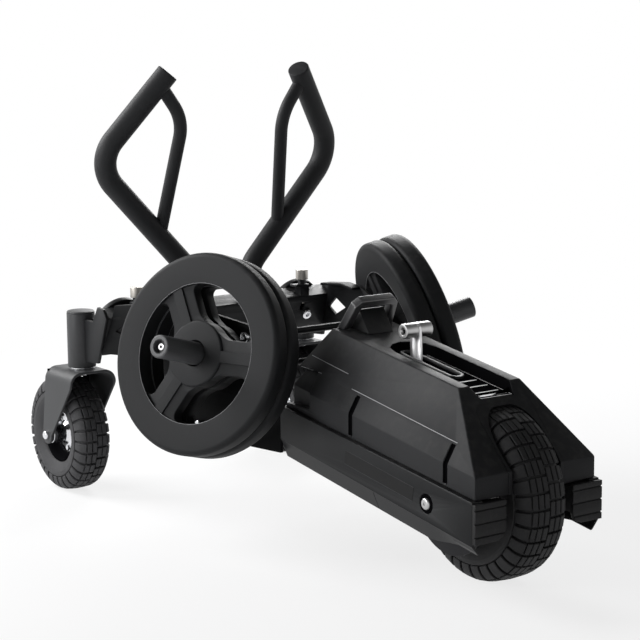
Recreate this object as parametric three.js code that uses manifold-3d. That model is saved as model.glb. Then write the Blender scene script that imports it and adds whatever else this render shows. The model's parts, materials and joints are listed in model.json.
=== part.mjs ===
// Push sled: a braked front wheel under a moulded hood, two swivel casters and two canted plate horns.
// Lengths are millimetres. X runs forwards from the horns, Y to the left and Z up from the floor.
import * as THREE from "three";
import { ConvexGeometry } from "three/addons/geometries/ConvexGeometry.js";
import { mergeVertices } from "three/addons/utils/BufferGeometryUtils.js";
import Module from "manifold-3d";

const wasm = await Module();
wasm.setup();

// Fits and cuts
const GAP = 0.3;
const OVERRUN = 60;

// Front wheel, its shaft and the eddy current brake
const WHEEL_X = 626;
const WHEEL_RADIUS = 182;
const WHEEL_WIDTH = 124;
const WHEEL_BEAD_RADIUS = 84;
const WHEEL_SIDES = 36;
const AXLE_RADIUS = 10;
const AXLE_HEAD_RADIUS = 17;
const AXLE_HEAD_THICKNESS = 9;
const HUB_RADIUS = 20;
const BRAKE_DISC_RADIUS = 115;
const BRAKE_DISC_THICKNESS = 6;
// Share of the way from the tyre's side to the hood's inner face
const BRAKE_DISC_SHARE = 0.48045;

// Lever that swings the magnets over the disc
const LEVER_PIVOT_X = 395;
const LEVER_PIVOT_Z = 240;
const LEVER_SHAFT_RADIUS = 9;
const LEVER_HUB_RADIUS = 18;
const LEVER_THICKNESS = 6;
const LEVER_GRIP_X = 385;
const LEVER_GRIP_Z = 481;
const LEVER_EYE_RADIUS = 17;
const GRIP_RADIUS = 16;
const GRIP_CORE_RADIUS = 6;
const GRIP_LENGTH = 70;
const GRIP_SOCKET_RADIUS = 6;
const GRIP_SOCKET_DEPTH = 7;
const MAGNET_ARM_ANGLE = 22;
const MAGNET_NEAR = 105;
const MAGNET_FAR = 153;
const MAGNET_BRIDGE = 10;
const MAGNET_TALL = 40;
const MAGNET_JAW = 11;
const MAGNET_AIR = 5;

// Hood
const HOOD_REAR_X = 198;
const HOOD_REAR_Z = 468;
const HOOD_TOP_HALF = 81;
const NOSE_TOP_X = 623;
const NOSE_TOP_Z = 404;
const NOSE_SETBACK = 2;
const NOSE_CREASE_Z = 258;
const HOOD_TAIL_X = 127;
const HOOD_TAIL_CREASE_Z = 351;
const HOOD_SETBACK = 9.5;
const HOOD_WALL = 6;
const ARCH_CLEARANCE = 10;
const ARCH_HALF_WIDTH = 72;
const ARCH_CORNER = 20;

// Trough in the hood's top with the lever's slot
const TROUGH_REAR = 135;
const TROUGH_HALF = 53;
const TROUGH_FLOOR_HALF = 43;
const TROUGH_DEPTH = 20;
const SLOT_REAR = 156;
const SLOT_FRONT = 333;
const SLOT_HALF = 12;
const SLOT_RING_WIDTH = 8;
const SLOT_RING_THICKNESS = 6;

// Dark recesses down the hood's flank and the tail panel
const FLANK_SLOT_ALONG_SHARES = [0.362, 0.848];
const FLANK_SLOT_UP_SHARE = 0.27;
const FLANK_SLOT_WIDTH = 11;
const FLANK_SLOT_DEPTH = 4;
const TAIL_PANEL_REACH = 18;
const TAIL_PANEL_LOW = 6;
const TAIL_PANEL_HIGH = 31;
const TAIL_PANEL_DEPTH = 13;

// Lift handle and the guard in front of the fingers
const LIFT_FOOT_FORWARD = 11;
const LIFT_LEAN = 32;
const LIFT_HEIGHT = 79;
const LIFT_FOOT_HALF = 70;
const LIFT_TOP_HALF = 58;
const LIFT_BAR = 19;
const LIFT_DEPTH = 20;
const LIFT_CHAMFER = 14;
const GUARD_LENGTH = 69;
const GUARD_CREST = 34;
const GUARD_HEIGHT = 41;
const GUARD_SIDE_GAP = 5;
const GUARD_TOP_HALF = 33;
const GUARD_WALL = 7;

// Lower body of folded plate
const BODY_REAR_X = 120;
const BODY_FRONT_X = 767;
const BODY_HALF = 167;
const BODY_TOP_REAR_Z = 297;
const BODY_TOP_FRONT_Z = 212;
const BODY_LOW_REAR_Z = 222;
const BODY_LOW_FRONT_Z = 124;
const BODY_PLATE = 5;
const BODY_LEDGE = 27;
const BEVEL_INSET = 17;
const BEVEL_DROP = 20;
const PAN_FRONT_X = 425;
const AXLE_POCKET_RADIUS = 21;
const AXLE_POCKET_DEPTH = 2;
const BUMPER_THICKNESS = 10;
const BUMPER_TAIL = 21;
const BUMPER_WIDTH = 79;
const BUMPER_TOP_INSET = 3;
const BUMPER_HEIGHT = 80;
const BUMPER_CORNER = 24;
const BUMPER_GROOVES = 3;
const BUMPER_GROOVE_SIZE = 3;

// Rear beam, leaning back at its foot
const BEAM_X = -395;
const BEAM_Z = 406;
const BEAM_TILT = 22;
const BEAM_DEPTH = 50;
const BEAM_HEIGHT = 100;
const BEAM_HALF = 320;
const BEAM_WALL = 5;

// Toed side members between the body and the beam
const MEMBER_THICKNESS = 8;
const MEMBER_LOW_Z = 190;
const MEMBER_PEAK_Z = 493;
const MEMBER_END_INSET = 2;
const MEMBER_FLANGE = 32;
const MEMBER_FLANGE_THICKNESS = 6;
// Shares of the way back to the beam, then of the height from the member's foot to its peak
const MEMBER_TOP_SHARES = [[0.122, 0.898], [0.49, 1], [0.653, 1], [0.949, 0.937], [0.965, 0.842]];
const MEMBER_KNEE_SHARES = [0.43, 0.026];
const WINDOW_SHARES = [[0.947, 0.736], [0.845, 0.693], [0.698, 0.785], [0.841, 0.835]];
const TIE_RADIUS = 8;
const TIE_HEAD_RADIUS = 11;
const TIE_HEAD_THICKNESS = 8;
const TIE_SHARES = { upper: [0.182, 0.818], lower: [0.453, 0.106], rear: [0.647, 0.413] };

// Horns, canted up and toed forwards
const HORN_TIP_X = 56;
const HORN_STANDOFF = 245.28;
const HORN_TIP_Z = 448;
const HORN_CANT = 15.8;
const HORN_TOE_LEAD = 1.173;
const HORN_RADIUS = 25;
const HORN_FREE_LENGTH = 119;
const HORN_COLLAR_RADIUS = 37;
const HORN_FOOT_LENGTH = 66;
const HORN_BORE_RADIUS = 15;
const HORN_BORE_DEPTH = 13;
const HORN_SCREW_RADIUS = 7;
const HORN_SCREW_HEIGHT = 5;
const HORN_LEAD = 2.5;

// Weight plates
const PLATE_RADIUS = 223;
const PLATE_THICKNESS = 44;
const PLATE_EDGE = 12;
const PLATE_RING_INNER = 155;
const PLATE_HUB_RADIUS = 73;
const PLATE_WEB = 28;
const PLATE_SPOKES = 3;
const PLATE_SPOKE_HALF = 38;
const PLATE_RIB_HALF = 12;
const PLATE_RIB_HEIGHT = 3;
const PLATE_OPENING_INNER = 88;
const PLATE_OPENING_CORNER = 18;
const PLATE_OPENING_LIP = 2;
const PLATE_BORE_CLEARANCE = 0.6;
const PLATE_SIDES = 28;

// Push handles
const HANDLE_RADIUS = 26;
const HANDLE_BEND = 85;
const HANDLE_LOW = { ahead: 25, out: 82, rise: 122 };
const HANDLE_ELBOW = { ahead: 19, out: 335, rise: 395 };
const HANDLE_TOP = { ahead: 101, out: 182, rise: 602 };
const BRACE_RADIUS = 15.5;
const BRACE_BEND = 45;
const BRACE_CORNER = { ahead: 92, out: 139, rise: 491 };
const BRACE_UPPER_SHARE = 0.12;
const BRACE_LOWER_SHARE = 0.66;

// Index disc, its bolt and the pull pin on the beam
const INDEX_INSET = 68;
const INDEX_RADIUS = 66;
const INDEX_THICKNESS = 14;
const INDEX_BOLT_RADIUS = 8;
const INDEX_HEAD_RADIUS = 13;
const INDEX_HEAD_THICKNESS = 9;
const PIN_AHEAD = 29;
const PIN_INSET = 83;
const PIN_RADIUS = 6;
const PIN_REACH = 60;
const PIN_POST_HALF = 13;
const PIN_POST_RISE = 67;
const PIN_TAB_LENGTH = 14;
const PIN_TAB_THICKNESS = 6;
const PIN_COLLAR_RADIUS = 10;
const PIN_COLLAR_RISE = 11;
const PIN_KNOB_RADIUS = 15.5;
const PIN_KNOB_HEIGHT = 25;

// Caster head, fork and wheel
const HEAD_BEHIND = 95;
const HEAD_RADIUS = 33.5;
const HEAD_WALL = 5;
const HEAD_LOW_Z = 312;
const HEAD_LENGTH = 129;
const STEM_RADIUS = 16;
const STEM_CAP_THICKNESS = 5;
const STEM_NUT_RADIUS = 20;
const STEM_NUT_THICKNESS = 10;
const BUSH_FLANGE_RADIUS = 29;
const BUSH_FLANGE_THICKNESS = 5;
const FORK_HALF = 62;
const FORK_PLATE = 6;
const FORK_CORNER = 30;
const FORK_FRONT = 53;
const FORK_REAR = 74;
const FORK_CHEEK_DEPTH = 34;
const FORK_BOSS_RADIUS = 22;
const CASTER_TRAIL = 72;
const CASTER_RADIUS = 140;
const CASTER_WIDTH = 90;
const CASTER_BEAD_RADIUS = 70;
const CASTER_SIDES = 28;
const CASTER_AXLE_RADIUS = 8;
const CASTER_HEAD_RADIUS = 13;
const CASTER_HUB_RADIUS = 20;
const BRACKET_PLATE = 8;
const BRACKET_ARM_INSET = 12;
const BRACKET_WEB_AHEAD = 37;
const BRACKET_WEB_REACH = 20;
// Shares of the beam's half depth, then of its half height
const BRACKET_SHARES = [[1, 1], [0.18, 1.27], [-0.86, 1.12], [-1.2, 0.25]];
const BRACKET_HEEL_SHARES = [1, -1.41];

// Outlines of wheels as shares: radius from bead to tread, then half width
const TYRE_SHARES = [
  [0, 0.68], [0.3, 1], [0.72, 0.95], [0.92, 0.7], [1, 0.3],
];
const RIM_DISH_SHARE = 0.14;
const RIM_BARREL_SHARE = 0.1;

// Steps around rounded corners and ends
const CORNER_STEPS = 2;
const END_STEPS = 6;
const ROUND_SIDES = 12;
const TUBE_SIDES = 12;
const HEAD_SIDES = 20;
const HUB_SIDES = 16;
const HANDLE_STEPS = 18;
const BRACE_SIDES = 8;
const BRACE_STEPS = 12;
const HEX_SIDES = 6;

const radians = THREE.MathUtils.degToRad;

// Places that follow from the sizes above
const NOSE_X = BODY_FRONT_X - NOSE_SETBACK;
const HOOD_HALF = BODY_HALF - HOOD_SETBACK;
const BRAKE_DISC_Y = -mix(WHEEL_WIDTH / 2, HOOD_HALF - HOOD_WALL, BRAKE_DISC_SHARE);
const BUMPER_FRONT_X = BODY_FRONT_X + BUMPER_THICKNESS;
const BUMPER_INNER_Y = BODY_HALF - BUMPER_WIDTH;
const BUMPER_HIGH_Z = BODY_TOP_FRONT_Z - BUMPER_TOP_INSET;
const BUMPER_LOW_Z = BUMPER_HIGH_Z - BUMPER_HEIGHT;
const BEAM_FRONT_X = BEAM_X + BEAM_DEPTH / 2;
const MEMBER_REAR_Y = BEAM_HALF - MEMBER_END_INSET;
const INDEX_Y = BEAM_HALF - INDEX_INSET;
const PIN_X = BEAM_X + PIN_AHEAD;
const PIN_Y = BEAM_HALF - PIN_INSET;
const PIN_POST_TOP_Z = BEAM_Z + PIN_POST_RISE;
const PIN_COLLAR_TOP_Z = PIN_POST_TOP_Z + PIN_COLLAR_RISE;
const HEAD_X = BEAM_X - HEAD_BEHIND;
const HEAD_Y = BEAM_HALF;
const HEAD_HIGH_Z = HEAD_LOW_Z + HEAD_LENGTH;
const FORK_TOP_Z = HEAD_LOW_Z - BUSH_FLANGE_THICKNESS - 2 * GAP;

// Shape helpers

// Merges shared corners, drops empty triangles and turns the faces outwards.
function tidy(geometry) {
  const bare = geometry.clone();
  for (const name of Object.keys(bare.attributes)) {
    if (name !== "position") bare.deleteAttribute(name);
  }
  const merged = mergeVertices(bare);
  const index = merged.index.array;
  const place = merged.attributes.position;
  const kept = [];
  const [a, b, c] = [new THREE.Vector3(), new THREE.Vector3(), new THREE.Vector3()];
  let volume = 0;
  for (let i = 0; i < index.length; i += 3) {
    const [p, q, r] = [index[i], index[i + 1], index[i + 2]];
    if (p === q || q === r || r === p) continue;
    kept.push([p, q, r]);
    a.fromBufferAttribute(place, p);
    b.fromBufferAttribute(place, q);
    c.fromBufferAttribute(place, r);
    volume += a.dot(b.cross(c));
  }
  merged.setIndex(kept.flatMap(([p, q, r]) => (volume < 0 ? [p, r, q] : [p, q, r])));
  return merged;
}

function solid(geometry) {
  const closed = tidy(geometry);
  const vertProperties = Float32Array.from(closed.attributes.position.array);
  const triVerts = Uint32Array.from(closed.index.array);
  return new wasm.Manifold(new wasm.Mesh({ numProp: 3, vertProperties, triVerts }));
}

function surface(body) {
  const { vertProperties, triVerts } = body.getMesh();
  const geometry = new THREE.BufferGeometry();
  geometry.setAttribute("position", new THREE.BufferAttribute(vertProperties, 3));
  geometry.setIndex(new THREE.BufferAttribute(triVerts, 1));
  return geometry;
}

function join(first, ...others) {
  return surface(others.reduce((body, other) => body.add(solid(other)), solid(first)));
}

function cut(first, ...tools) {
  return surface(tools.reduce((body, tool) => body.subtract(solid(tool)), solid(first)));
}

function overlap(first, second) {
  return surface(solid(first).intersect(solid(second)));
}

function mirrored(geometry) {
  return tidy(geometry.clone().scale(1, -1, 1));
}

function block([x0, x1], [y0, y1], [z0, z1]) {
  const geometry = new THREE.BoxGeometry(x1 - x0, y1 - y0, z1 - z0);
  return geometry.translate((x0 + x1) / 2, (y0 + y1) / 2, (z0 + z1) / 2);
}

// Turns an outline of [radius, height] pairs about the Z axis.
function turned(outline, sides) {
  const points = outline.map(([radius, height]) => new THREE.Vector2(radius, height));
  return tidy(new THREE.LatheGeometry(points, sides, Math.PI / sides).rotateX(Math.PI / 2));
}

// Turns an outline of [radius, place along Y] pairs about the Y axis, with a flat side down.
function wheelTurned(outline, sides) {
  return tidy(turned(outline, sides).rotateX(-Math.PI / 2));
}

function rod(radius, from, to, sides = ROUND_SIDES) {
  return turned([[0, from], [radius, from], [radius, to], [0, to]], sides);
}

function rodAlongY(radius, from, to, sides = ROUND_SIDES) {
  return tidy(rod(radius, from, to, sides).rotateX(-Math.PI / 2));
}

function rodAlongX(radius, from, to, sides = ROUND_SIDES) {
  return tidy(rod(radius, from, to, sides).rotateY(Math.PI / 2));
}

// Closed outline of [x, y] points, each corner rounded by its own radius.
function rounded(points, radius) {
  const outline = [];
  points.forEach(([x, y], i) => {
    const size = Array.isArray(radius) ? radius[i] : radius;
    if (!size) {
      outline.push(new THREE.Vector2(x, y));
      return;
    }
    const corner = new THREE.Vector2(x, y);
    const before = new THREE.Vector2(...points.at(i - 1)).sub(corner);
    const after = new THREE.Vector2(...points[(i + 1) % points.length]).sub(corner);
    const start = corner.clone().add(before.setLength(Math.min(size, before.length() / 2)));
    const end = corner.clone().add(after.setLength(Math.min(size, after.length() / 2)));
    outline.push(...new THREE.QuadraticBezierCurve(start, corner, end).getPoints(CORNER_STEPS));
  });
  return outline;
}

function extruded(outline, depth, holes = []) {
  const shape = new THREE.Shape(outline);
  shape.holes = holes.map((hole) => new THREE.Path(hole));
  return new THREE.ExtrudeGeometry(shape, { depth, bevelEnabled: false });
}

// A plate whose outline is given as [x, z], between two places along Y.
function uprightPlate(outline, fromY, toY, holes = []) {
  const geometry = extruded(outline, toY - fromY, holes);
  return tidy(geometry.rotateX(Math.PI / 2).translate(0, toY, 0));
}

// A bar whose section is given as [y, z], between two places along X.
function lengthwiseBar(outline, fromX, toX) {
  const geometry = extruded(outline, toX - fromX);
  return tidy(geometry.rotateX(Math.PI / 2).rotateZ(Math.PI / 2).translate(fromX, 0, 0));
}

function hull(points) {
  return new ConvexGeometry(points.map(([x, y, z]) => new THREE.Vector3(x, y, z)));
}

// Radius of a faceted bore whose flats clear a turning shaft.
function bearing(radius) {
  return (radius + GAP) / Math.cos(Math.PI / ROUND_SIDES);
}

function bothSides(points) {
  return points.flatMap(([x, y, z]) => [[x, y, z], [x, -y, z]]);
}

// A slot outline with round ends, lying along X.
function stadium(rear, front, half) {
  const outline = [];
  for (let i = 0; i <= END_STEPS; i += 1) {
    const turn = -Math.PI / 2 + (Math.PI * i) / END_STEPS;
    outline.push([front - half + half * Math.cos(turn), half * Math.sin(turn)]);
  }
  for (let i = 0; i <= END_STEPS; i += 1) {
    const turn = Math.PI / 2 + (Math.PI * i) / END_STEPS;
    outline.push([rear + half + half * Math.cos(turn), half * Math.sin(turn)]);
  }
  return outline;
}

function vectors(outline) {
  return outline.map(([x, y]) => new THREE.Vector2(x, y));
}

// A route of straight runs joined by bends, each bend starting a set length before its corner.
function route(points, bend) {
  const path = new THREE.CurvePath();
  const places = points.map((point) => new THREE.Vector3(...point));
  let start = places[0];
  for (let i = 1; i < places.length - 1; i += 1) {
    const back = places[i - 1].clone().sub(places[i]).setLength(bend).add(places[i]);
    const ahead = places[i + 1].clone().sub(places[i]).setLength(bend).add(places[i]);
    path.add(new THREE.LineCurve3(start, back));
    path.add(new THREE.QuadraticBezierCurve3(back, places[i], ahead));
    start = ahead;
  }
  path.add(new THREE.LineCurve3(start, places.at(-1)));
  return path;
}

function tube(path, radius, sides, steps) {
  const section = new THREE.Shape();
  section.absarc(0, 0, radius, 0, Math.PI * 2);
  const options = { steps, extrudePath: path, curveSegments: sides / 2, bevelEnabled: false };
  return tidy(new THREE.ExtrudeGeometry(section, options));
}

// Scene helpers

const sled = new THREE.Group();

function paint(color, roughness, metalness) {
  return new THREE.MeshStandardMaterial({ color, roughness, metalness, flatShading: true });
}

const FINISHES = {
  frame: () => paint(0x1c1d1f, 0.5, 0.3),
  shell: () => paint(0x242526, 0.55, 0),
  rubber: () => paint(0x2a2a2a, 0.85, 0),
  plate: () => paint(0x2b2c2d, 0.75, 0),
  bright: () => paint(0xb9bbbd, 0.3, 1),
  steel: () => paint(0x8b8e92, 0.4, 1),
  bronze: () => paint(0x9a7440, 0.4, 1),
};

function add(name, geometry, finish, group = sled) {
  const mesh = new THREE.Mesh(tidy(geometry), FINISHES[finish]());
  mesh.name = name;
  group.add(mesh);
  return mesh;
}

// Adds a right-hand piece as drawn and its mirror image on the left.
function addPair(name, geometry, finish) {
  add(`${name}_right`, geometry, finish);
  add(`${name}_left`, mirrored(geometry), finish);
}

function groupAt(x, y, z) {
  const group = new THREE.Group();
  group.position.set(x, y, z);
  sled.add(group);
  return group;
}

// Lines that the folded body follows from tail to nose

function mix(from, to, share) {
  return from + (to - from) * share;
}

function along(x, rearZ, frontZ) {
  return mix(rearZ, frontZ, (x - BODY_REAR_X) / (BODY_FRONT_X - BODY_REAR_X));
}

const bodyTop = (x) => along(x, BODY_TOP_REAR_Z, BODY_TOP_FRONT_Z);
const bodyLow = (x) => along(x, BODY_LOW_REAR_Z, BODY_LOW_FRONT_Z);
const wheelHeight = WHEEL_RADIUS * Math.cos(Math.PI / WHEEL_SIDES);
const casterHeight = CASTER_RADIUS * Math.cos(Math.PI / CASTER_SIDES);

// Wheels

function tyre(radius, width, bead, sides) {
  const outer = TYRE_SHARES.map(([rise, half]) => [bead + (radius - bead) * rise, (width / 2) * half]);
  const lower = outer.map(([r, y]) => [r, -y]);
  const seat = (bead + GAP) / Math.cos(Math.PI / sides);
  const first = [seat, lower[0][1]];
  const last = [seat, outer[0][1]];
  const ring = [first, ...lower.slice(1), ...outer.slice(1).reverse(), last, first];
  return wheelTurned(ring, sides);
}

// Dished wheel centre: hub, disc and barrel in one closed section.
function rim(bead, width, hub, bore, hubHalf, sides) {
  const barrel = bead * RIM_BARREL_SHARE;
  const dish = (width / 2) * RIM_DISH_SHARE;
  const flange = (width / 2) * TYRE_SHARES[0][1];
  const side = [
    [hub, hubHalf], [hub, dish], [bead - 2 * barrel, dish], [bead - barrel, flange], [bead, flange],
  ];
  const mirror = side.map(([r, y]) => [r, -y]).reverse();
  const section = [[bore, hubHalf], ...side, ...mirror, [bore, -hubHalf], [bore, hubHalf]];
  return wheelTurned(section, sides);
}

function addFrontWheel() {
  const group = groupAt(WHEEL_X, 0, wheelHeight);
  const hubHalf = BODY_HALF - BODY_PLATE - 2 * GAP;
  const hub = wheelTurned(
    [[bearing(AXLE_RADIUS), -hubHalf], [HUB_RADIUS, -hubHalf], [HUB_RADIUS, hubHalf],
      [bearing(AXLE_RADIUS), hubHalf], [bearing(AXLE_RADIUS), -hubHalf]],
    ROUND_SIDES,
  );
  const bore = HUB_RADIUS + GAP;
  const boss = HUB_RADIUS + HOOD_WALL;
  add("front_tyre", tyre(WHEEL_RADIUS, WHEEL_WIDTH, WHEEL_BEAD_RADIUS, WHEEL_SIDES), "rubber", group);
  const half = WHEEL_WIDTH * TYRE_SHARES[0][1] / 2;
  add("front_rim", rim(WHEEL_BEAD_RADIUS, WHEEL_WIDTH, boss, bore, half, CASTER_SIDES), "steel", group);
  add("wheel_hub", hub, "steel", group);
  const near = BRAKE_DISC_Y - BRAKE_DISC_THICKNESS / 2;
  const far = BRAKE_DISC_Y + BRAKE_DISC_THICKNESS / 2;
  const disc = wheelTurned(
    [[bore, near], [BRAKE_DISC_RADIUS, near], [BRAKE_DISC_RADIUS, far], [bore, far], [bore, near]],
    CASTER_SIDES,
  );
  add("brake_disc", disc, "bronze", group);
  const outside = BODY_HALF - AXLE_POCKET_DEPTH + GAP;
  const end = outside + AXLE_HEAD_THICKNESS;
  const axle = wheelTurned(
    [[0, -end], [AXLE_HEAD_RADIUS, -end], [AXLE_HEAD_RADIUS, -outside], [AXLE_RADIUS, -outside],
      [AXLE_RADIUS, outside], [AXLE_HEAD_RADIUS, outside], [AXLE_HEAD_RADIUS, end], [0, end]],
    ROUND_SIDES,
  );
  add("wheel_axle", axle, "bright", group);
}

// Lever and magnets

function discPoints(x, z, radius, y) {
  const points = [];
  for (let i = 0; i < END_STEPS * 2; i += 1) {
    const turn = (Math.PI * i) / END_STEPS;
    points.push([x + radius * Math.cos(turn), y, z + radius * Math.sin(turn)]);
  }
  return points;
}

// A link between two round ends, lying in a plane across Y.
function link(from, fromRadius, to, toRadius, y0, y1) {
  return hull([y0, y1].flatMap((y) => [
    ...discPoints(from[0], from[1], fromRadius, y), ...discPoints(to[0], to[1], toRadius, y),
  ]));
}

function addLever() {
  const group = groupAt(LEVER_PIVOT_X, 0, LEVER_PIVOT_Z);
  const [gripX, gripZ] = [LEVER_GRIP_X - LEVER_PIVOT_X, LEVER_GRIP_Z - LEVER_PIVOT_Z];
  const half = LEVER_THICKNESS / 2;
  const yokeHalf = BRAKE_DISC_THICKNESS / 2 + MAGNET_AIR + MAGNET_JAW;
  const armInner = BRAKE_DISC_Y - yokeHalf - GAP;
  const armOuter = armInner - LEVER_THICKNESS;
  const turn = radians(MAGNET_ARM_ANGLE);
  const reach = (MAGNET_NEAR + MAGNET_FAR) / 2;
  const tip = [reach * Math.cos(turn), reach * Math.sin(turn)];
  const blade = link([0, 0], LEVER_HUB_RADIUS, [gripX, gripZ], LEVER_EYE_RADIUS, -half, half);
  const arm = link([0, 0], LEVER_HUB_RADIUS, tip, LEVER_HUB_RADIUS, armOuter, armInner);
  const barrel = rodAlongY(LEVER_HUB_RADIUS, armOuter, half);
  const bore = rodAlongY(bearing(LEVER_SHAFT_RADIUS), armOuter - OVERRUN, half + OVERRUN);
  const eye = rodAlongY(GRIP_CORE_RADIUS + GAP, -OVERRUN, OVERRUN).translate(gripX, 0, gripZ);
  add("lever", cut(join(blade, barrel, arm), bore, eye), "bright", group);
  const socketEnd = GRIP_SOCKET_DEPTH - GRIP_LENGTH / 2;
  const socket = rodAlongY(GRIP_SOCKET_RADIUS, -GRIP_LENGTH, socketEnd, HEX_SIDES);
  const cheek = half + GAP;
  const grip = join(
    rodAlongY(GRIP_RADIUS, -GRIP_LENGTH / 2, -cheek),
    rodAlongY(GRIP_RADIUS, cheek, GRIP_LENGTH / 2),
    rodAlongY(GRIP_CORE_RADIUS, -cheek - half, cheek + half),
  );
  add("lever_grip", cut(grip, socket), "bright", group).position.set(gripX, 0, gripZ);
  const air = BRAKE_DISC_THICKNESS / 2 + MAGNET_AIR;
  const yoke = cut(
    block([MAGNET_NEAR, MAGNET_FAR], [-yokeHalf, yokeHalf], [-MAGNET_TALL / 2, MAGNET_TALL / 2]),
    block([MAGNET_NEAR + MAGNET_BRIDGE, MAGNET_FAR + OVERRUN], [-air, air], [-OVERRUN, OVERRUN]),
  );
  const magnets = add("magnet_yoke", yoke, "steel", group);
  magnets.position.y = BRAKE_DISC_Y;
  magnets.rotation.y = -turn;
  const end = BODY_HALF - BODY_PLATE - GAP;
  add("lever_shaft", rodAlongY(LEVER_SHAFT_RADIUS, -end, end), "steel", group);
}

// Hood

// The faceted outer form, drawn in by a wall or a recess depth and open below by a drop.
function hoodForm(inset, drop = 0) {
  const nose = NOSE_X - inset;
  const tail = HOOD_TAIL_X + inset;
  const half = HOOD_HALF - inset;
  const slantShare = 0.4;
  const topHalf = HOOD_TOP_HALF - inset * slantShare;
  const lowNose = bodyTop(NOSE_X) + GAP - drop;
  const lowTail = bodyTop(HOOD_TAIL_X) + GAP - drop;
  return hull(bothSides([
    [HOOD_REAR_X + inset, topHalf, HOOD_REAR_Z - inset],
    [NOSE_TOP_X - inset * slantShare, topHalf, NOSE_TOP_Z - inset],
    [nose, half, NOSE_CREASE_Z - inset * slantShare],
    [nose, half, lowNose],
    [tail, half, HOOD_TAIL_CREASE_Z - inset * slantShare],
    [tail, half, lowTail],
  ]));
}

const hoodSlope = Math.atan2(HOOD_REAR_Z - NOSE_TOP_Z, NOSE_TOP_X - HOOD_REAR_X);

// Carries a form drawn on a flat top, measured from its rear edge, onto the sloping top.
function ontoTop(geometry) {
  return tidy(geometry.rotateY(hoodSlope).translate(HOOD_REAR_X, 0, HOOD_REAR_Z));
}

// The tapering trough, drawn out by a wall and open above by a rise.
function trough(grow, rise) {
  const front = NOSE_X - HOOD_REAR_X + OVERRUN;
  const narrow = TROUGH_HALF - TROUGH_FLOOR_HALF;
  const upper = stadium(TROUGH_REAR - grow, front, TROUGH_HALF + grow);
  const lower = stadium(TROUGH_REAR + narrow - grow, front, TROUGH_FLOOR_HALF + grow);
  const basin = hull([
    ...upper.map(([x, y]) => [x, y, 0]), ...lower.map(([x, y]) => [x, y, -TROUGH_DEPTH - grow]),
  ]);
  return ontoTop(join(basin, extruded(vectors(upper), rise)));
}

function archCutter() {
  const outer = WHEEL_RADIUS + ARCH_CLEARANCE;
  const inner = outer - ARCH_CORNER;
  const flat = ARCH_HALF_WIDTH - ARCH_CORNER;
  const steps = CORNER_STEPS + 1;
  const side = [];
  for (let i = 0; i <= steps; i += 1) {
    const turn = (Math.PI / 2) * (i / steps);
    side.push([inner + ARCH_CORNER * Math.sin(turn), flat + ARCH_CORNER * Math.cos(turn)]);
  }
  const other = side.map(([r, y]) => [r, -y]).reverse();
  const outline = [[0, ARCH_HALF_WIDTH], ...side, ...other, [0, -ARCH_HALF_WIDTH]];
  return wheelTurned(outline, WHEEL_SIDES).translate(WHEEL_X, 0, wheelHeight);
}

function addHood() {
  const outer = hoodForm(0);
  const hollow = hoodForm(HOOD_WALL, OVERRUN);
  const backing = overlap(trough(HOOD_WALL, OVERRUN), outer);
  const panelBox = (grow) => block(
    [0, HOOD_REAR_X + TAIL_PANEL_REACH + grow], [-BODY_HALF, BODY_HALF],
    [BODY_TOP_REAR_Z + TAIL_PANEL_LOW - grow, HOOD_TAIL_CREASE_Z + TAIL_PANEL_HIGH + grow],
  );
  const panelInside = hoodForm(TAIL_PANEL_DEPTH + HOOD_WALL, OVERRUN);
  const panelWall = cut(overlap(panelBox(HOOD_WALL), outer), panelInside);
  const panelRecess = cut(panelBox(0), hoodForm(TAIL_PANEL_DEPTH, OVERRUN));
  const slot = extruded(vectors(stadium(SLOT_REAR, SLOT_FRONT, SLOT_HALF)), 2 * OVERRUN);
  const leverSlot = ontoTop(slot.translate(0, 0, -2 * OVERRUN));
  const flank = FLANK_SLOT_ALONG_SHARES.map((share) => {
    const x = mix(HOOD_TAIL_X, NOSE_X, share);
    const crease = mix(HOOD_TAIL_CREASE_Z, NOSE_CREASE_Z, share);
    const top = HOOD_REAR_Z - (x - HOOD_REAR_X) * Math.tan(hoodSlope);
    const span = [bodyTop(x) + HOOD_WALL, mix(crease, top, FLANK_SLOT_UP_SHARE)];
    return cut(
      block([x, x + FLANK_SLOT_WIDTH], [-BODY_HALF, BODY_HALF], span),
      hoodForm(FLANK_SLOT_DEPTH, OVERRUN),
    );
  });
  const shell = join(cut(outer, hollow), backing, panelWall);
  add("hood", cut(shell, trough(0, OVERRUN), leverSlot, panelRecess, archCutter(), ...flank), "shell");
  const width = SLOT_RING_WIDTH;
  const ringOuter = vectors(stadium(SLOT_REAR - width, SLOT_FRONT + width, SLOT_HALF + width));
  const ringInner = vectors(stadium(SLOT_REAR, SLOT_FRONT, SLOT_HALF));
  const ring = extruded(ringOuter, SLOT_RING_THICKNESS, [ringInner]);
  add("slot_ring", ontoTop(ring.translate(0, 0, GAP - TROUGH_DEPTH)), "shell");
}

// Removes everything that would lie in or under the hood's top.
function aboveHood(geometry) {
  const under = block([-NOSE_X, NOSE_X], [-BODY_HALF, BODY_HALF], [-NOSE_X, GAP]);
  return cut(geometry, ontoTop(under));
}

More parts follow.
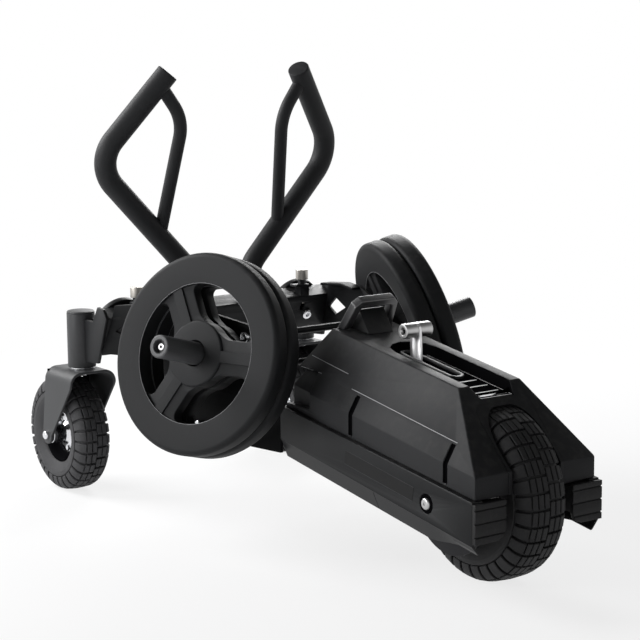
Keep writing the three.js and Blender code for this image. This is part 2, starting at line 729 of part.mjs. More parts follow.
function addLiftHandle() {
  const inner = LIFT_HEIGHT - LIFT_BAR;
  const footInner = LIFT_FOOT_HALF - LIFT_BAR;
  const topInner = LIFT_TOP_HALF - LIFT_BAR;
  const foot = -LIFT_BAR;
  const outline = [
    [-LIFT_FOOT_HALF, foot], [-LIFT_TOP_HALF, LIFT_HEIGHT - LIFT_CHAMFER],
    [LIFT_CHAMFER - LIFT_TOP_HALF, LIFT_HEIGHT], [LIFT_TOP_HALF - LIFT_CHAMFER, LIFT_HEIGHT],
    [LIFT_TOP_HALF, LIFT_HEIGHT - LIFT_CHAMFER], [LIFT_FOOT_HALF, foot], [footInner, foot],
    [topInner, inner], [-topInner, inner], [-footInner, foot],
  ];
  const arch = lengthwiseBar(vectors(outline), -LIFT_DEPTH / 2, LIFT_DEPTH / 2);
  const placed = arch.rotateY(radians(LIFT_LEAN));
  placed.translate(HOOD_REAR_X + LIFT_FOOT_FORWARD, 0, HOOD_REAR_Z);
  add("lift_handle", aboveHood(placed), "steel");
  const base = HOOD_REAR_Z - LIFT_BAR;
  const rear = HOOD_REAR_X + LIFT_FOOT_FORWARD - GUARD_SIDE_GAP;
  const crest = HOOD_REAR_X + GUARD_CREST;
  const baseHalf = footInner - GUARD_SIDE_GAP;
  const slopeShare = (GUARD_LENGTH - GUARD_CREST) / (GUARD_HEIGHT + LIFT_BAR);
  const form = (inset, rise) => hull(bothSides([
    [rear + GUARD_LENGTH - inset, GUARD_TOP_HALF - inset, base],
    [crest - inset - rise * slopeShare, GUARD_TOP_HALF - inset, HOOD_REAR_Z + GUARD_HEIGHT + rise],
    [rear - 2 * inset, GUARD_TOP_HALF - inset, HOOD_REAR_Z + GUARD_HEIGHT + rise],
    [rear - 2 * inset, baseHalf - inset, base],
  ]));
  const guard = cut(form(0, 0), form(GUARD_WALL, LIFT_BAR));
  add("hand_guard", aboveHood(guard), "shell");
}

// Folded lower body

function taperedStrip(x0, x1, inner, outer, low, high) {
  const points = [x0, x1].flatMap((x) => [
    [x, -outer, low(x)], [x, -inner, low(x)], [x, -outer, high(x)], [x, -inner, high(x)],
  ]);
  return hull(points);
}

function addBody() {
  const [rear, front] = [BODY_REAR_X, BODY_FRONT_X];
  const inner = BODY_HALF - BODY_PLATE;
  const web = taperedStrip(rear, front, inner, BODY_HALF, bodyLow, bodyTop);
  const ledgeLow = (x) => bodyTop(x) - BODY_PLATE;
  const ledge = taperedStrip(rear, front, BODY_HALF - BODY_LEDGE, BODY_HALF, ledgeLow, bodyTop);
  const bevel = hull([rear, front].flatMap((x) => [
    [x, -BODY_HALF, bodyLow(x)], [x, -inner, bodyLow(x) + BODY_PLATE / 2],
    [x, -BODY_HALF + BEVEL_INSET, bodyLow(x) - BEVEL_DROP],
    [x, -BODY_HALF + BEVEL_INSET, bodyLow(x) - BEVEL_DROP + BODY_PLATE],
  ]));
  const hole = rodAlongY(AXLE_RADIUS + GAP, -BODY_HALF - OVERRUN, 0).translate(WHEEL_X, 0, wheelHeight);
  const pocket = rodAlongY(AXLE_POCKET_RADIUS, -BODY_HALF - OVERRUN, AXLE_POCKET_DEPTH - BODY_HALF)
    .translate(WHEEL_X, 0, wheelHeight);
  addPair("side_plate", cut(join(web, ledge, bevel), hole, pocket), "frame");
  const panHalf = BODY_HALF - BEVEL_INSET - GAP;
  const panLow = (x) => bodyLow(x) - BEVEL_DROP;
  const panRear = BODY_REAR_X + BODY_PLATE + GAP;
  const panHigh = (x) => panLow(x) + BODY_PLATE;
  add("belly_pan", taperedStrip(panRear, PAN_FRONT_X, -panHalf, panHalf, panLow, panHigh), "frame");
  const wall = taperedStrip(
    rear, rear + BODY_PLATE, -inner + GAP, inner - GAP,
    (x) => bodyLow(x) + BODY_PLATE, (x) => bodyTop(x) - BODY_PLATE - GAP,
  );
  const foot = taperedStrip(
    rear, rear + BODY_PLATE, -panHalf, panHalf, panLow, (x) => bodyLow(x) + 2 * BODY_PLATE,
  );
  add("cross_plate", join(wall, foot), "frame");
}

function addBumpers() {
  const corners = [
    [-BODY_HALF, BUMPER_LOW_Z], [-BUMPER_INNER_Y, BUMPER_LOW_Z],
    [-BUMPER_INNER_Y, BUMPER_HIGH_Z], [-BODY_HALF, BUMPER_HIGH_Z],
  ];
  const face = rounded(corners, [0, BUMPER_CORNER, 0, 0]);
  const nose = lengthwiseBar(face, BODY_FRONT_X + GAP, BUMPER_FRONT_X);
  const shoulder = BODY_HALF - BODY_PLATE - GAP;
  const ceiling = bodyTop(BODY_FRONT_X) - BODY_PLATE - GAP;
  const tail = block([BODY_FRONT_X - BUMPER_TAIL, BUMPER_FRONT_X - BUMPER_GROOVE_SIZE],
    [-shoulder, -BUMPER_INNER_Y], [BUMPER_LOW_Z + BUMPER_CORNER, ceiling]);
  const pitch = (BUMPER_HIGH_Z - BUMPER_LOW_Z) / BUMPER_GROOVES;
  const grooves = Array.from({ length: BUMPER_GROOVES }, (_, i) => {
    const z = BUMPER_LOW_Z + pitch * (i + 0.5);
    const deep = [BUMPER_FRONT_X - BUMPER_GROOVE_SIZE, BUMPER_FRONT_X + OVERRUN];
    return block(deep, [-BODY_HALF - OVERRUN, 0], [z, z + BUMPER_GROOVE_SIZE]);
  });
  addPair("bumper", cut(join(nose, tail), ...grooves), "rubber");
}

// Rear beam and the members that carry it

function beamGroup() {
  const group = groupAt(BEAM_X, 0, BEAM_Z);
  group.rotation.y = radians(BEAM_TILT);
  group.updateMatrix();
  return group;
}

function beamBox(grow, half = BEAM_HALF) {
  const [depth, height] = [BEAM_DEPTH / 2 + grow, BEAM_HEIGHT / 2 + grow];
  return block([-depth, depth], [-half, half], [-height, height]);
}

function beamToWorld(geometry) {
  return tidy(geometry.rotateY(radians(BEAM_TILT)).translate(BEAM_X, 0, BEAM_Z));
}

function worldToBeam(geometry) {
  return tidy(geometry.translate(-BEAM_X, 0, -BEAM_Z).rotateY(-radians(BEAM_TILT)));
}

function addBeam() {
  const group = beamGroup();
  const bolts = [-1, 1].map((side) => rodAlongX(INDEX_BOLT_RADIUS + GAP, -OVERRUN, OVERRUN)
    .translate(0, side * INDEX_Y, 0));
  const pins = [-1, 1].map((side) => worldToBeam(rod(PIN_RADIUS + GAP, BEAM_Z, BEAM_Z + BEAM_HEIGHT)
    .translate(PIN_X, side * PIN_Y, 0)));
  const hollow = beamBox(-BEAM_WALL, BEAM_HALF + OVERRUN);
  add("rear_beam", cut(beamBox(0), hollow, ...bolts, ...pins), "frame", group);
  const back = BEAM_DEPTH / 2 + GAP;
  const disc = cut(
    rodAlongX(INDEX_RADIUS, -back - INDEX_THICKNESS, -back, HEAD_SIDES),
    rodAlongX(INDEX_BOLT_RADIUS + GAP, -BEAM_DEPTH - OVERRUN, 0),
  );
  const nut = -back - INDEX_THICKNESS - GAP;
  const head = BEAM_DEPTH / 2 + GAP;
  const bolt = tidy(turned(
    [[0, nut - INDEX_HEAD_THICKNESS], [INDEX_HEAD_RADIUS, nut - INDEX_HEAD_THICKNESS],
      [INDEX_HEAD_RADIUS, nut], [INDEX_BOLT_RADIUS, nut], [INDEX_BOLT_RADIUS, head],
      [INDEX_HEAD_RADIUS, head], [INDEX_HEAD_RADIUS, head + INDEX_HEAD_THICKNESS],
      [0, head + INDEX_HEAD_THICKNESS]],
    HEX_SIDES,
  ).rotateY(Math.PI / 2));
  for (const [hand, side] of [["right", -1], ["left", 1]]) {
    add(`index_disc_${hand}`, disc, "frame", group).position.y = side * INDEX_Y;
    add(`index_bolt_${hand}`, bolt, "bright", group).position.y = side * INDEX_Y;
  }
}

// All that lies lower than a gap above the plane of the beam's top face.
function belowBeamTop() {
  const wide = [-BEAM_HALF, BEAM_HALF];
  return beamToWorld(block(wide, wide, [-BEAM_HALF, BEAM_HEIGHT / 2 + GAP]));
}

function addPins() {
  const half = PIN_POST_HALF;
  const post = block([-half, half], [-half, half], [BEAM_Z, PIN_POST_TOP_Z]);
  const tabLow = PIN_POST_TOP_Z - PIN_TAB_THICKNESS;
  const tab = block([-half, half], [0, half + PIN_TAB_LENGTH], [tabLow, PIN_POST_TOP_Z]);
  const collar = rod(PIN_COLLAR_RADIUS, BEAM_Z, PIN_COLLAR_TOP_Z, HEX_SIDES);
  const bore = rod(PIN_RADIUS + GAP, BEAM_Z - OVERRUN, PIN_COLLAR_TOP_Z + OVERRUN);
  const raised = join(post, tab, collar).translate(PIN_X, -PIN_Y, 0);
  addPair("pin_holder", cut(raised, bore.translate(PIN_X, -PIN_Y, 0), belowBeamTop()), "frame");
  const knob = PIN_COLLAR_TOP_Z + GAP;
  const pin = turned(
    [[0, knob - PIN_REACH], [PIN_RADIUS, knob - PIN_REACH], [PIN_RADIUS, knob], [PIN_KNOB_RADIUS, knob],
      [PIN_KNOB_RADIUS, knob + PIN_KNOB_HEIGHT], [0, knob + PIN_KNOB_HEIGHT]],
    ROUND_SIDES,
  );
  addPair("pull_pin", pin.translate(PIN_X, -PIN_Y, 0), "bright");
}

const memberToe = Math.atan2(MEMBER_REAR_Y - BODY_HALF, BODY_REAR_X - BEAM_FRONT_X);

// How far out the right member's outer face stands from the middle.
function memberFace(x) {
  return BODY_HALF + (BODY_REAR_X - x) * Math.tan(memberToe);
}

// A place on the member: a share of the way back to the beam and a share of its height.
function onMember([back, up]) {
  return [mix(BODY_REAR_X, BEAM_FRONT_X, back), mix(MEMBER_LOW_Z, MEMBER_PEAK_Z, up)];
}

// Leans an upright plate of the right side outwards towards the tail.
function toed(geometry) {
  const lean = Math.tan(memberToe);
  const shear = new THREE.Matrix4();
  shear.set(1, 0, 0, 0, lean, 1, 0, -lean * BODY_REAR_X, 0, 0, 1, 0, 0, 0, 0, 1);
  return tidy(geometry.clone().applyMatrix4(shear));
}

function addMembers() {
  const depth = MEMBER_THICKNESS / Math.cos(memberToe);
  const front = BODY_REAR_X - GAP;
  const beamFoot = [BEAM_X, BEAM_Z - BEAM_HEIGHT / 2];
  const outline = vectors([
    [front, MEMBER_LOW_Z], [front, BODY_TOP_REAR_Z], ...MEMBER_TOP_SHARES.map(onMember),
    [BEAM_X, BEAM_Z], beamFoot, onMember(MEMBER_KNEE_SHARES),
  ]);
  const window = vectors(WINDOW_SHARES.map(onMember));
  const plate = uprightPlate(outline, -BODY_HALF, depth - BODY_HALF, [window]);
  const crest = MEMBER_TOP_SHARES.slice(1, -1).map(onMember);
  const under = crest.map(([x, z]) => [x, z - MEMBER_FLANGE_THICKNESS]).reverse();
  const flange = uprightPlate(vectors([...crest, ...under]), -BODY_HALF, MEMBER_FLANGE - BODY_HALF);
  const member = toed(join(plate, flange));
  const ties = Object.entries(TIE_SHARES).map(([place, shares]) => [place, onMember(shares)]);
  const holes = ties.map(([, [x, z]]) => rodAlongY(TIE_RADIUS + GAP, -BEAM_HALF, 0).translate(x, 0, z));
  const beam = beamToWorld(beamBox(GAP, BEAM_HALF + OVERRUN));
  addPair("side_member", cut(member, beam, ...holes), "frame");
  const inboard = toed(uprightPlate(vectors([
    [BEAM_X, -BEAM_HALF], [BODY_REAR_X, -BEAM_HALF], [BODY_REAR_X, HOOD_REAR_Z], [BEAM_X, HOOD_REAR_Z],
  ]), -BODY_HALF - GAP, BODY_HALF));
  for (const [place, [x, z]] of ties) {
    const face = memberFace(x);
    const reach = face + TIE_HEAD_THICKNESS;
    const blank = rodAlongY(TIE_HEAD_RADIUS, -reach, -face + TIE_HEAD_THICKNESS);
    const head = cut(blank.translate(x, 0, z), inboard);
    const bar = rodAlongY(TIE_RADIUS, -reach, reach).translate(x, 0, z);
    add(`tie_bar_${place}`, join(bar, head, mirrored(head)), "bright");
  }
  return inboard;
}

// Casters

// A plate over the beam's end that runs back to the head tube, with a web across the tube's front.
function bracket() {
  const outer = BEAM_HALF + GAP;
  const turn = radians(BEAM_TILT);
  const onBeam = ([depth, height]) => {
    const [x, z] = [(depth * BEAM_DEPTH) / 2, (height * BEAM_HEIGHT) / 2];
    const forward = x * Math.cos(turn) + z * Math.sin(turn);
    const rise = z * Math.cos(turn) - x * Math.sin(turn);
    return [BEAM_X + forward, BEAM_Z + rise];
  };
  const [low, high] = [HEAD_LOW_Z + BRACKET_ARM_INSET, HEAD_HIGH_Z - BRACKET_ARM_INSET];
  const heel = onBeam(BRACKET_HEEL_SHARES);
  const outline = [...BRACKET_SHARES.map(onBeam), [HEAD_X, high], [HEAD_X, low], heel];
  const face = uprightPlate(vectors(outline), -outer - BRACKET_PLATE, -outer);
  const webFront = HEAD_X + BRACKET_WEB_AHEAD;
  const webWide = [-outer, BRACKET_WEB_REACH - outer];
  const web = block([webFront - BRACKET_PLATE, webFront], webWide, [low, high]);
  const plates = join(face, web);
  const around = rod(HEAD_RADIUS + GAP, 0, HEAD_HIGH_Z + OVERRUN, HEAD_SIDES);
  const behind = block([HEAD_X - HEAD_BEHIND, HEAD_X], [-2 * BEAM_HALF, 0], [0, HEAD_HIGH_Z + OVERRUN]);
  return cut(plates, around.translate(HEAD_X, -HEAD_Y, 0), behind);
}

// Fork, stem and wheel of one caster, drawn around its own swivel axis and trailing backwards.
function addCaster(hand, side) {
  const group = groupAt(HEAD_X, side * HEAD_Y, 0);
  const profile = (half, corner, top) => rounded(
    [[-half, 0], [half, 0], [half, top], [-half, top]], [0, 0, corner, corner],
  );
  const inner = FORK_HALF - FORK_PLATE;
  const hollow = profile(inner, FORK_CORNER - FORK_PLATE, FORK_TOP_Z - FORK_PLATE);
  const arch = cut(
    lengthwiseBar(profile(FORK_HALF, FORK_CORNER, FORK_TOP_Z), -CASTER_RADIUS, CASTER_RADIUS),
    lengthwiseBar(hollow, -CASTER_RADIUS - OVERRUN, CASTER_RADIUS + OVERRUN),
  );
  const cheeks = hull([-FORK_HALF, FORK_HALF].flatMap((y) => [
    [FORK_FRONT, y, FORK_TOP_Z],
    [FORK_FRONT, y, FORK_TOP_Z - FORK_CHEEK_DEPTH],
    [-FORK_REAR, y, FORK_TOP_Z],
    ...discPoints(-CASTER_TRAIL, casterHeight, FORK_BOSS_RADIUS, y),
  ]));
  const stemHole = rod(STEM_RADIUS + GAP, 0, FORK_TOP_Z + OVERRUN);
  const axleHole = rodAlongY(CASTER_AXLE_RADIUS + GAP, -BEAM_HALF, BEAM_HALF);
  axleHole.translate(-CASTER_TRAIL, 0, casterHeight);
  add(`caster_fork_${hand}`, cut(overlap(arch, cheeks), stemHole, axleHole), "frame", group);
  const nutTop = FORK_TOP_Z - FORK_PLATE - GAP;
  const capLow = HEAD_HIGH_Z + GAP;
  const stem = turned(
    [[0, nutTop - STEM_NUT_THICKNESS], [STEM_NUT_RADIUS, nutTop - STEM_NUT_THICKNESS],
      [STEM_NUT_RADIUS, nutTop], [STEM_RADIUS, nutTop], [STEM_RADIUS, capLow], [HEAD_RADIUS, capLow],
      [HEAD_RADIUS - STEM_CAP_THICKNESS / 2, capLow + STEM_CAP_THICKNESS],
      [0, capLow + STEM_CAP_THICKNESS]],
    ROUND_SIDES,
  );
  add(`caster_stem_${hand}`, stem, "frame", group);
  const wheel = new THREE.Group();
  wheel.position.set(-CASTER_TRAIL, 0, casterHeight);
  group.add(wheel);
  const beadHalf = inner - GAP;
  const band = tyre(CASTER_RADIUS, CASTER_WIDTH, CASTER_BEAD_RADIUS, CASTER_SIDES);
  add(`caster_tyre_${hand}`, band, "rubber", wheel);
  add(`caster_rim_${hand}`, rim(CASTER_BEAD_RADIUS, CASTER_WIDTH, CASTER_HUB_RADIUS,
    bearing(CASTER_AXLE_RADIUS), beadHalf, CASTER_SIDES), "bright", wheel);
  const outside = FORK_HALF + GAP;
  const end = outside + CASTER_AXLE_RADIUS;
  const axle = wheelTurned(
    [[0, -end], [CASTER_HEAD_RADIUS, -end], [CASTER_HEAD_RADIUS, -outside],
      [CASTER_AXLE_RADIUS, -outside], [CASTER_AXLE_RADIUS, outside], [CASTER_HEAD_RADIUS, outside],
      [CASTER_HEAD_RADIUS, end], [0, end]],
    ROUND_SIDES,
  );
  add(`caster_axle_${hand}`, axle, "bright", wheel);
}

function addCasterHeads() {
  const bore = HEAD_RADIUS - HEAD_WALL;
  const shell = turned(
    [[bore, HEAD_LOW_Z], [HEAD_RADIUS, HEAD_LOW_Z], [HEAD_RADIUS, HEAD_HIGH_Z],
      [bore, HEAD_HIGH_Z], [bore, HEAD_LOW_Z]],
    HEAD_SIDES,
  );
  addPair("head_tube", shell.translate(HEAD_X, -HEAD_Y, 0), "frame");
  const flangeTop = HEAD_LOW_Z - GAP;
  const hole = bearing(STEM_RADIUS);
  const sleeve = bore * Math.cos(Math.PI / HEAD_SIDES) - GAP;
  const flangeLow = FORK_TOP_Z + GAP;
  const bush = turned(
    [[hole, flangeLow], [BUSH_FLANGE_RADIUS, flangeLow], [BUSH_FLANGE_RADIUS, flangeTop],
      [sleeve, flangeTop], [sleeve, HEAD_HIGH_Z - GAP], [hole, HEAD_HIGH_Z - GAP], [hole, flangeLow]],
    ROUND_SIDES,
  );
  addPair("head_bush", bush.translate(HEAD_X, -HEAD_Y, 0), "bronze");
  addPair("end_bracket", bracket(), "frame");
  addCaster("right", -1);
  addCaster("left", 1);
}

// Horns and plates

function hornGroup(side) {
  const [toe, cant] = [memberToe + radians(HORN_TOE_LEAD), radians(HORN_CANT)];
  const outward = new THREE.Vector3(
    Math.sin(toe) * Math.cos(cant), side * Math.cos(toe) * Math.cos(cant), Math.sin(cant),
  );
  const ahead = new THREE.Vector3(Math.cos(toe), -side * Math.sin(toe), 0);
  const up = outward.clone().cross(ahead);
  const out = memberFace(HORN_TIP_X) + HORN_STANDOFF;
  const group = groupAt(HORN_TIP_X, side * out, HORN_TIP_Z);
  group.quaternion.setFromRotationMatrix(new THREE.Matrix4().makeBasis(ahead, up, outward));
  group.updateMatrix();
  return group;
}

function openingOutline(centre) {
  const inner = PLATE_OPENING_INNER;
  const outer = PLATE_RING_INNER * Math.cos(Math.PI / PLATE_SIDES) - PLATE_OPENING_LIP;
  const step = Math.PI / PLATE_SPOKES;
  const innerTurn = step - Math.asin(PLATE_SPOKE_HALF / inner);
  const outerTurn = step - Math.asin(PLATE_SPOKE_HALF / outer);
  const at = (radius, turn) => [radius * Math.cos(centre + turn), radius * Math.sin(centre + turn)];
  const points = [at(inner, -innerTurn), at(outer, -outerTurn)];
  const radii = [PLATE_OPENING_CORNER, PLATE_OPENING_CORNER];
  for (let i = 1; i < END_STEPS; i += 1) {
    points.push(at(outer, outerTurn * ((2 * i) / END_STEPS - 1)));
    radii.push(0);
  }
  points.push(at(outer, outerTurn), at(inner, innerTurn), at(inner, 0));
  radii.push(PLATE_OPENING_CORNER, PLATE_OPENING_CORNER, 0);
  return rounded(points, radii);
}

function weightPlate() {
  const half = PLATE_THICKNESS / 2;
  const web = PLATE_WEB / 2;
  const lap = PLATE_RING_INNER + PLATE_EDGE / 2;
  const side = [
    [PLATE_RING_INNER, half - PLATE_EDGE / 2], [lap, half], [PLATE_RADIUS - PLATE_EDGE, half],
    [PLATE_RADIUS, half - PLATE_EDGE],
  ];
  const other = side.map(([r, z]) => [r, -z]).reverse();
  const ring = turned([...side, ...other, side[0]], PLATE_SIDES);
  const disc = rod(lap, -web, web, PLATE_SIDES);
  const hub = rod(PLATE_HUB_RADIUS, -half, half, HUB_SIDES);
  const ribTall = PLATE_WEB / 2 + PLATE_RIB_HEIGHT;
  const ribs = [];
  const openings = [];
  for (let i = 0; i < PLATE_SPOKES; i += 1) {
    const turn = (2 * Math.PI * i) / PLATE_SPOKES;
    const across = [-PLATE_RIB_HALF, PLATE_RIB_HALF];
    const rib = block([PLATE_HUB_RADIUS / 2, lap], across, [-ribTall, ribTall]);
    ribs.push(rib.rotateZ(turn));
    const opening = extruded(openingOutline(turn + Math.PI / PLATE_SPOKES), 2 * PLATE_THICKNESS);
    openings.push(opening.translate(0, 0, -PLATE_THICKNESS));
  }
  const bore = rod(HORN_RADIUS + PLATE_BORE_CLEARANCE, -PLATE_THICKNESS, PLATE_THICKNESS, ROUND_SIDES);
  return cut(join(ring, disc, hub, ...ribs), ...openings, bore);
}

// The horn is drawn from its tip, with its foot cut to the face of the side member.
function addHorns(inboard) {
  const stack = HORN_FREE_LENGTH + 2 * (PLATE_THICKNESS + GAP);
  const foot = stack + HORN_FOOT_LENGTH;
  const blank = turned(
    [[0, -foot], [HORN_COLLAR_RADIUS, -foot], [HORN_COLLAR_RADIUS, -stack], [HORN_RADIUS, -stack],
      [HORN_RADIUS, -HORN_LEAD], [HORN_RADIUS - HORN_LEAD, 0], [HORN_BORE_RADIUS, 0],
      [HORN_BORE_RADIUS, -HORN_BORE_DEPTH], [HORN_SCREW_RADIUS, -HORN_BORE_DEPTH],
      [HORN_SCREW_RADIUS, HORN_SCREW_HEIGHT - HORN_BORE_DEPTH],
      [0, HORN_SCREW_HEIGHT - HORN_BORE_DEPTH]],
    ROUND_SIDES,
  );
  const plate = weightPlate();
  for (const [hand, side] of [["right", -1], ["left", 1]]) {
    const group = hornGroup(side);
    const face = side < 0 ? inboard.clone() : mirrored(inboard);
    face.applyMatrix4(group.matrix.clone().invert());
    add(`horn_${hand}`, cut(blank, face), "frame", group);
    ["outer", "inner"].forEach((place, i) => {
      const depth = HORN_FREE_LENGTH + PLATE_THICKNESS / 2 + i * (PLATE_THICKNESS + GAP);
      add(`plate_${place}_${hand}`, plate, "plate", group).position.z = -depth;
    });
  }
}

// Push handles

function addHandles() {
  const [low, elbow, top, corner] = [HANDLE_LOW, HANDLE_ELBOW, HANDLE_TOP, BRACE_CORNER].map(
    ({ ahead, out, rise }) => [BEAM_X + ahead, -out, BEAM_Z + rise],
  );
  const base = [low[0], low[1], BEAM_Z];
  const main = route([top, elbow, low, base], HANDLE_BEND);
  const bent = tube(main, HANDLE_RADIUS, TUBE_SIDES, HANDLE_STEPS);
  addPair("push_handle", cut(bent, belowBeamTop()), "frame");
  const vertex = new THREE.Vector3(...elbow);
  const upper = new THREE.Vector3(...top).lerp(vertex, BRACE_UPPER_SHARE);
  const lower = vertex.clone().lerp(new THREE.Vector3(...low), BRACE_LOWER_SHARE);
  const run = route([upper.toArray(), corner, lower.toArray()], BRACE_BEND);
  const brace = tube(run, BRACE_RADIUS, BRACE_SIDES, BRACE_STEPS);
  const saddle = tube(main, HANDLE_RADIUS + GAP, TUBE_SIDES, HANDLE_STEPS);
  addPair("handle_brace", cut(brace, saddle), "frame");
}

addFrontWheel();
addLever();
addHood();
addLiftHandle();
addBody();
addBumpers();
addBeam();
addPins();
addHorns(addMembers());
addCasterHeads();
addHandles();

// The origin is on the floor under the middle of the sled's length.
sled.updateMatrixWorld(true);
const reach = new THREE.Box3().setFromObject(sled, true);
const part = new THREE.Group();
part.add(sled);
sled.position.x = -(reach.min.x + reach.max.x) / 2;
part.updateMatrixWorld(true);

export default part;
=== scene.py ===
"""Push sled on a braked front wheel: a bent-tube handle frame on two casters, a moulded hood over
the wheel and weight plates on two horns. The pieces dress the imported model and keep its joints."""

import json
import math

import bmesh
import bpy
import numpy as np
from bpy.props import FloatProperty, FloatVectorProperty, IntProperty, PointerProperty
from mathutils import Matrix, Vector
from mathutils.bvhtree import BVHTree

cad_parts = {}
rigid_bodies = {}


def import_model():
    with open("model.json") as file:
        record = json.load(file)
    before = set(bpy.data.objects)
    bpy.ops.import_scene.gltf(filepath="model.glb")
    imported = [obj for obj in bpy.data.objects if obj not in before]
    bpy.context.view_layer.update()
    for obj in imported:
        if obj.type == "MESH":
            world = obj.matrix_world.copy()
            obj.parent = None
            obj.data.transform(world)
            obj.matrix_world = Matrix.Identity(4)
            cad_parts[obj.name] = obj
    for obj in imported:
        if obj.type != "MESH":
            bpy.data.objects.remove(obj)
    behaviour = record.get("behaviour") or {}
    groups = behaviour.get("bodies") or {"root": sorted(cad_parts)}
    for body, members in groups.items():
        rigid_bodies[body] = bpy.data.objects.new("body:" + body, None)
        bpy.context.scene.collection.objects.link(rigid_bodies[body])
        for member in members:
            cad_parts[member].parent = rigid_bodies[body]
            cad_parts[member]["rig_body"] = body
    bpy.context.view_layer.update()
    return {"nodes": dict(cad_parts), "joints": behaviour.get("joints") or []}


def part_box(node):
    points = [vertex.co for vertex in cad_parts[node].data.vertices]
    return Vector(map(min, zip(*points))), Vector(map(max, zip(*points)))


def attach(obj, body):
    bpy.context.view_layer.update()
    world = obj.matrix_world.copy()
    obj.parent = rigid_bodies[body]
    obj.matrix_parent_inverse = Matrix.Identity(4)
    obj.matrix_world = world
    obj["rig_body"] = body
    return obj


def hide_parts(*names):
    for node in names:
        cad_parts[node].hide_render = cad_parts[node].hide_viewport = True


bl_info = {
    "name": "Push sled",
    "version": (1, 0, 0),
    "blender": (4, 5, 0),
    "location": "3D View > Sidebar > Push sled",
    "description": "Builds a push sled with weight plates around its packed model",
    "category": "Object",
}

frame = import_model()
joints = {joint["name"]: joint for joint in frame["joints"]}
HANDS = (("right", -1.0), ("left", 1.0))


# Sizes and colours


def length(name, description, default):
    """A size in metres."""
    return FloatProperty(
        name=name, description=description, default=default, min=0.0, unit="LENGTH"
    )


def number(name, description, default):
    """How many equal pieces there are."""
    return IntProperty(name=name, description=description, default=default, min=8)


def place(name, description, default):
    """A place in metres in the model's own frame."""
    return FloatVectorProperty(name=name, description=description, default=default, unit="LENGTH")


def colour(name, description, default):
    """A linear colour."""
    return FloatVectorProperty(
        name=name, description=description, default=default, subtype="COLOR", min=0.0, max=1.0
    )


class PushSledSizes(bpy.types.PropertyGroup):
    """Sizes of the sled's dressed pieces."""

    edge: length("Folded edge", "Rounding of folded and welded plate edges", 0.0014)
    hood_edge: length("Hood edge", "Rounding of the moulded hood's edges", 0.0028)
    block_gap: length("Tread gap", "Width of the grooves between tread blocks", 0.0026)
    block_cross: length("Tread cross groove", "Width of the grooves across the tread", 0.0058)
    block_height: length("Tread height", "Depth of the tread grooves", 0.0062)
    front_radius: length("Front wheel radius", "Reach of the front tread from its axle", 0.18131)
    front_half: length("Front tyre half width", "Half of the front tyre's width", 0.062)
    front_bead: length("Front bead radius", "Radius where the front tyre sits on its rim", 0.084)
    front_blocks: number("Front tread blocks", "Blocks round the front tyre", 33)
    caster_radius: length("Caster radius", "Reach of a caster's tread from its axle", 0.13912)
    caster_half: length("Caster tyre half width", "Half of a caster tyre's width", 0.045)
    caster_bead: length("Caster bead radius", "Radius where a caster tyre sits on its rim", 0.070)
    caster_blocks: number("Caster tread blocks", "Blocks round a caster tyre", 30)
    plate_radius: length("Plate radius", "Outer radius of a weight plate", 0.223)
    plate_thickness: length("Plate thickness", "Thickness of a weight plate's ring", 0.044)
    plate_edge: length("Plate edge", "Rounding of a weight plate's rim", 0.0125)
    plate_ring: length("Plate ring", "Inner radius of a weight plate's ring", 0.154)
    plate_hub: length("Plate hub", "Radius of a weight plate's hub", 0.073)
    plate_web: length("Plate web", "Thickness of a weight plate's spokes", 0.028)
    spoke_half: length("Spoke half width", "Half of the width of a plate's spoke", 0.038)
    horn_tip: place("Horn tip", "Middle of the left horn's end face", (0.002906, 0.43202, 0.448))
    horn_radius: length("Horn radius", "Radius of a plate horn", 0.025)
    horn_free: length("Horn reach", "Length of the horn outside the plates", 0.119)
    handle_radius: length("Handle radius", "Radius of a push handle's tube", 0.0258)
    handle_bend: length("Handle bend", "Bend radius of a push handle", 0.085)
    brace_radius: length("Brace radius", "Radius of a handle's brace", 0.0154)
    brace_bend: length("Brace bend", "Bend radius of a handle's brace", 0.105)
    beam: place("Beam centre", "Middle of the rear beam", (-0.448094, 0.0, 0.406))
    grip_radius: length("Lever grip radius", "Radius of the brake lever's grip", 0.016)


class PushSledColours(bpy.types.PropertyGroup):
    """Colours of the sled's finishes."""

    frame_black: colour("Frame black", "Powder coat of the frame", (0.014, 0.0145, 0.0155))
    fork_grey: colour("Fork grey", "Powder coat of the forks and head tubes", (0.040, 0.041, 0.043))
    hood_black: colour("Hood black", "Moulded hood", (0.024, 0.0245, 0.026))
    rubber: colour("Rubber", "Tyres and bumpers", (0.021, 0.021, 0.022))
    plate_black: colour("Plate black", "Coat of the weight plates", (0.018, 0.0185, 0.0195))
    bright: colour("Bright metal", "Polished steel", (0.78, 0.79, 0.81))
    satin: colour("Satin steel", "Brushed steel", (0.50, 0.50, 0.50))
    knob: colour("Knob", "Turned aluminium of the pull knobs", (0.44, 0.42, 0.39))
    cast: colour("Lift handle", "Dark coat of the lift handle", (0.050, 0.050, 0.052))
    # The brake disc's near-black is painted shade, for the disc lying in the dark under the body.
    disc: colour("Brake disc", "Blackened brake disc", (0.030, 0.030, 0.032))
    blade: colour("Lever blade", "Brushed blade of the brake lever", (0.72, 0.72, 0.73))
    horn_grey: colour("Horn grey", "Worn coat of the plate horns", (0.075, 0.076, 0.079))
    # The stripe colour serves the printed lines and the painted highlight on the tail recess's lip.
    stripe: colour("Stripe", "Printed lines", (0.36, 0.365, 0.375))
    mark: colour("Trough marks", "Printed marks in the trough", (0.82, 0.82, 0.83))
    backdrop: colour("Backdrop", "Floor and background", (0.86, 0.86, 0.87))


# Shader maths


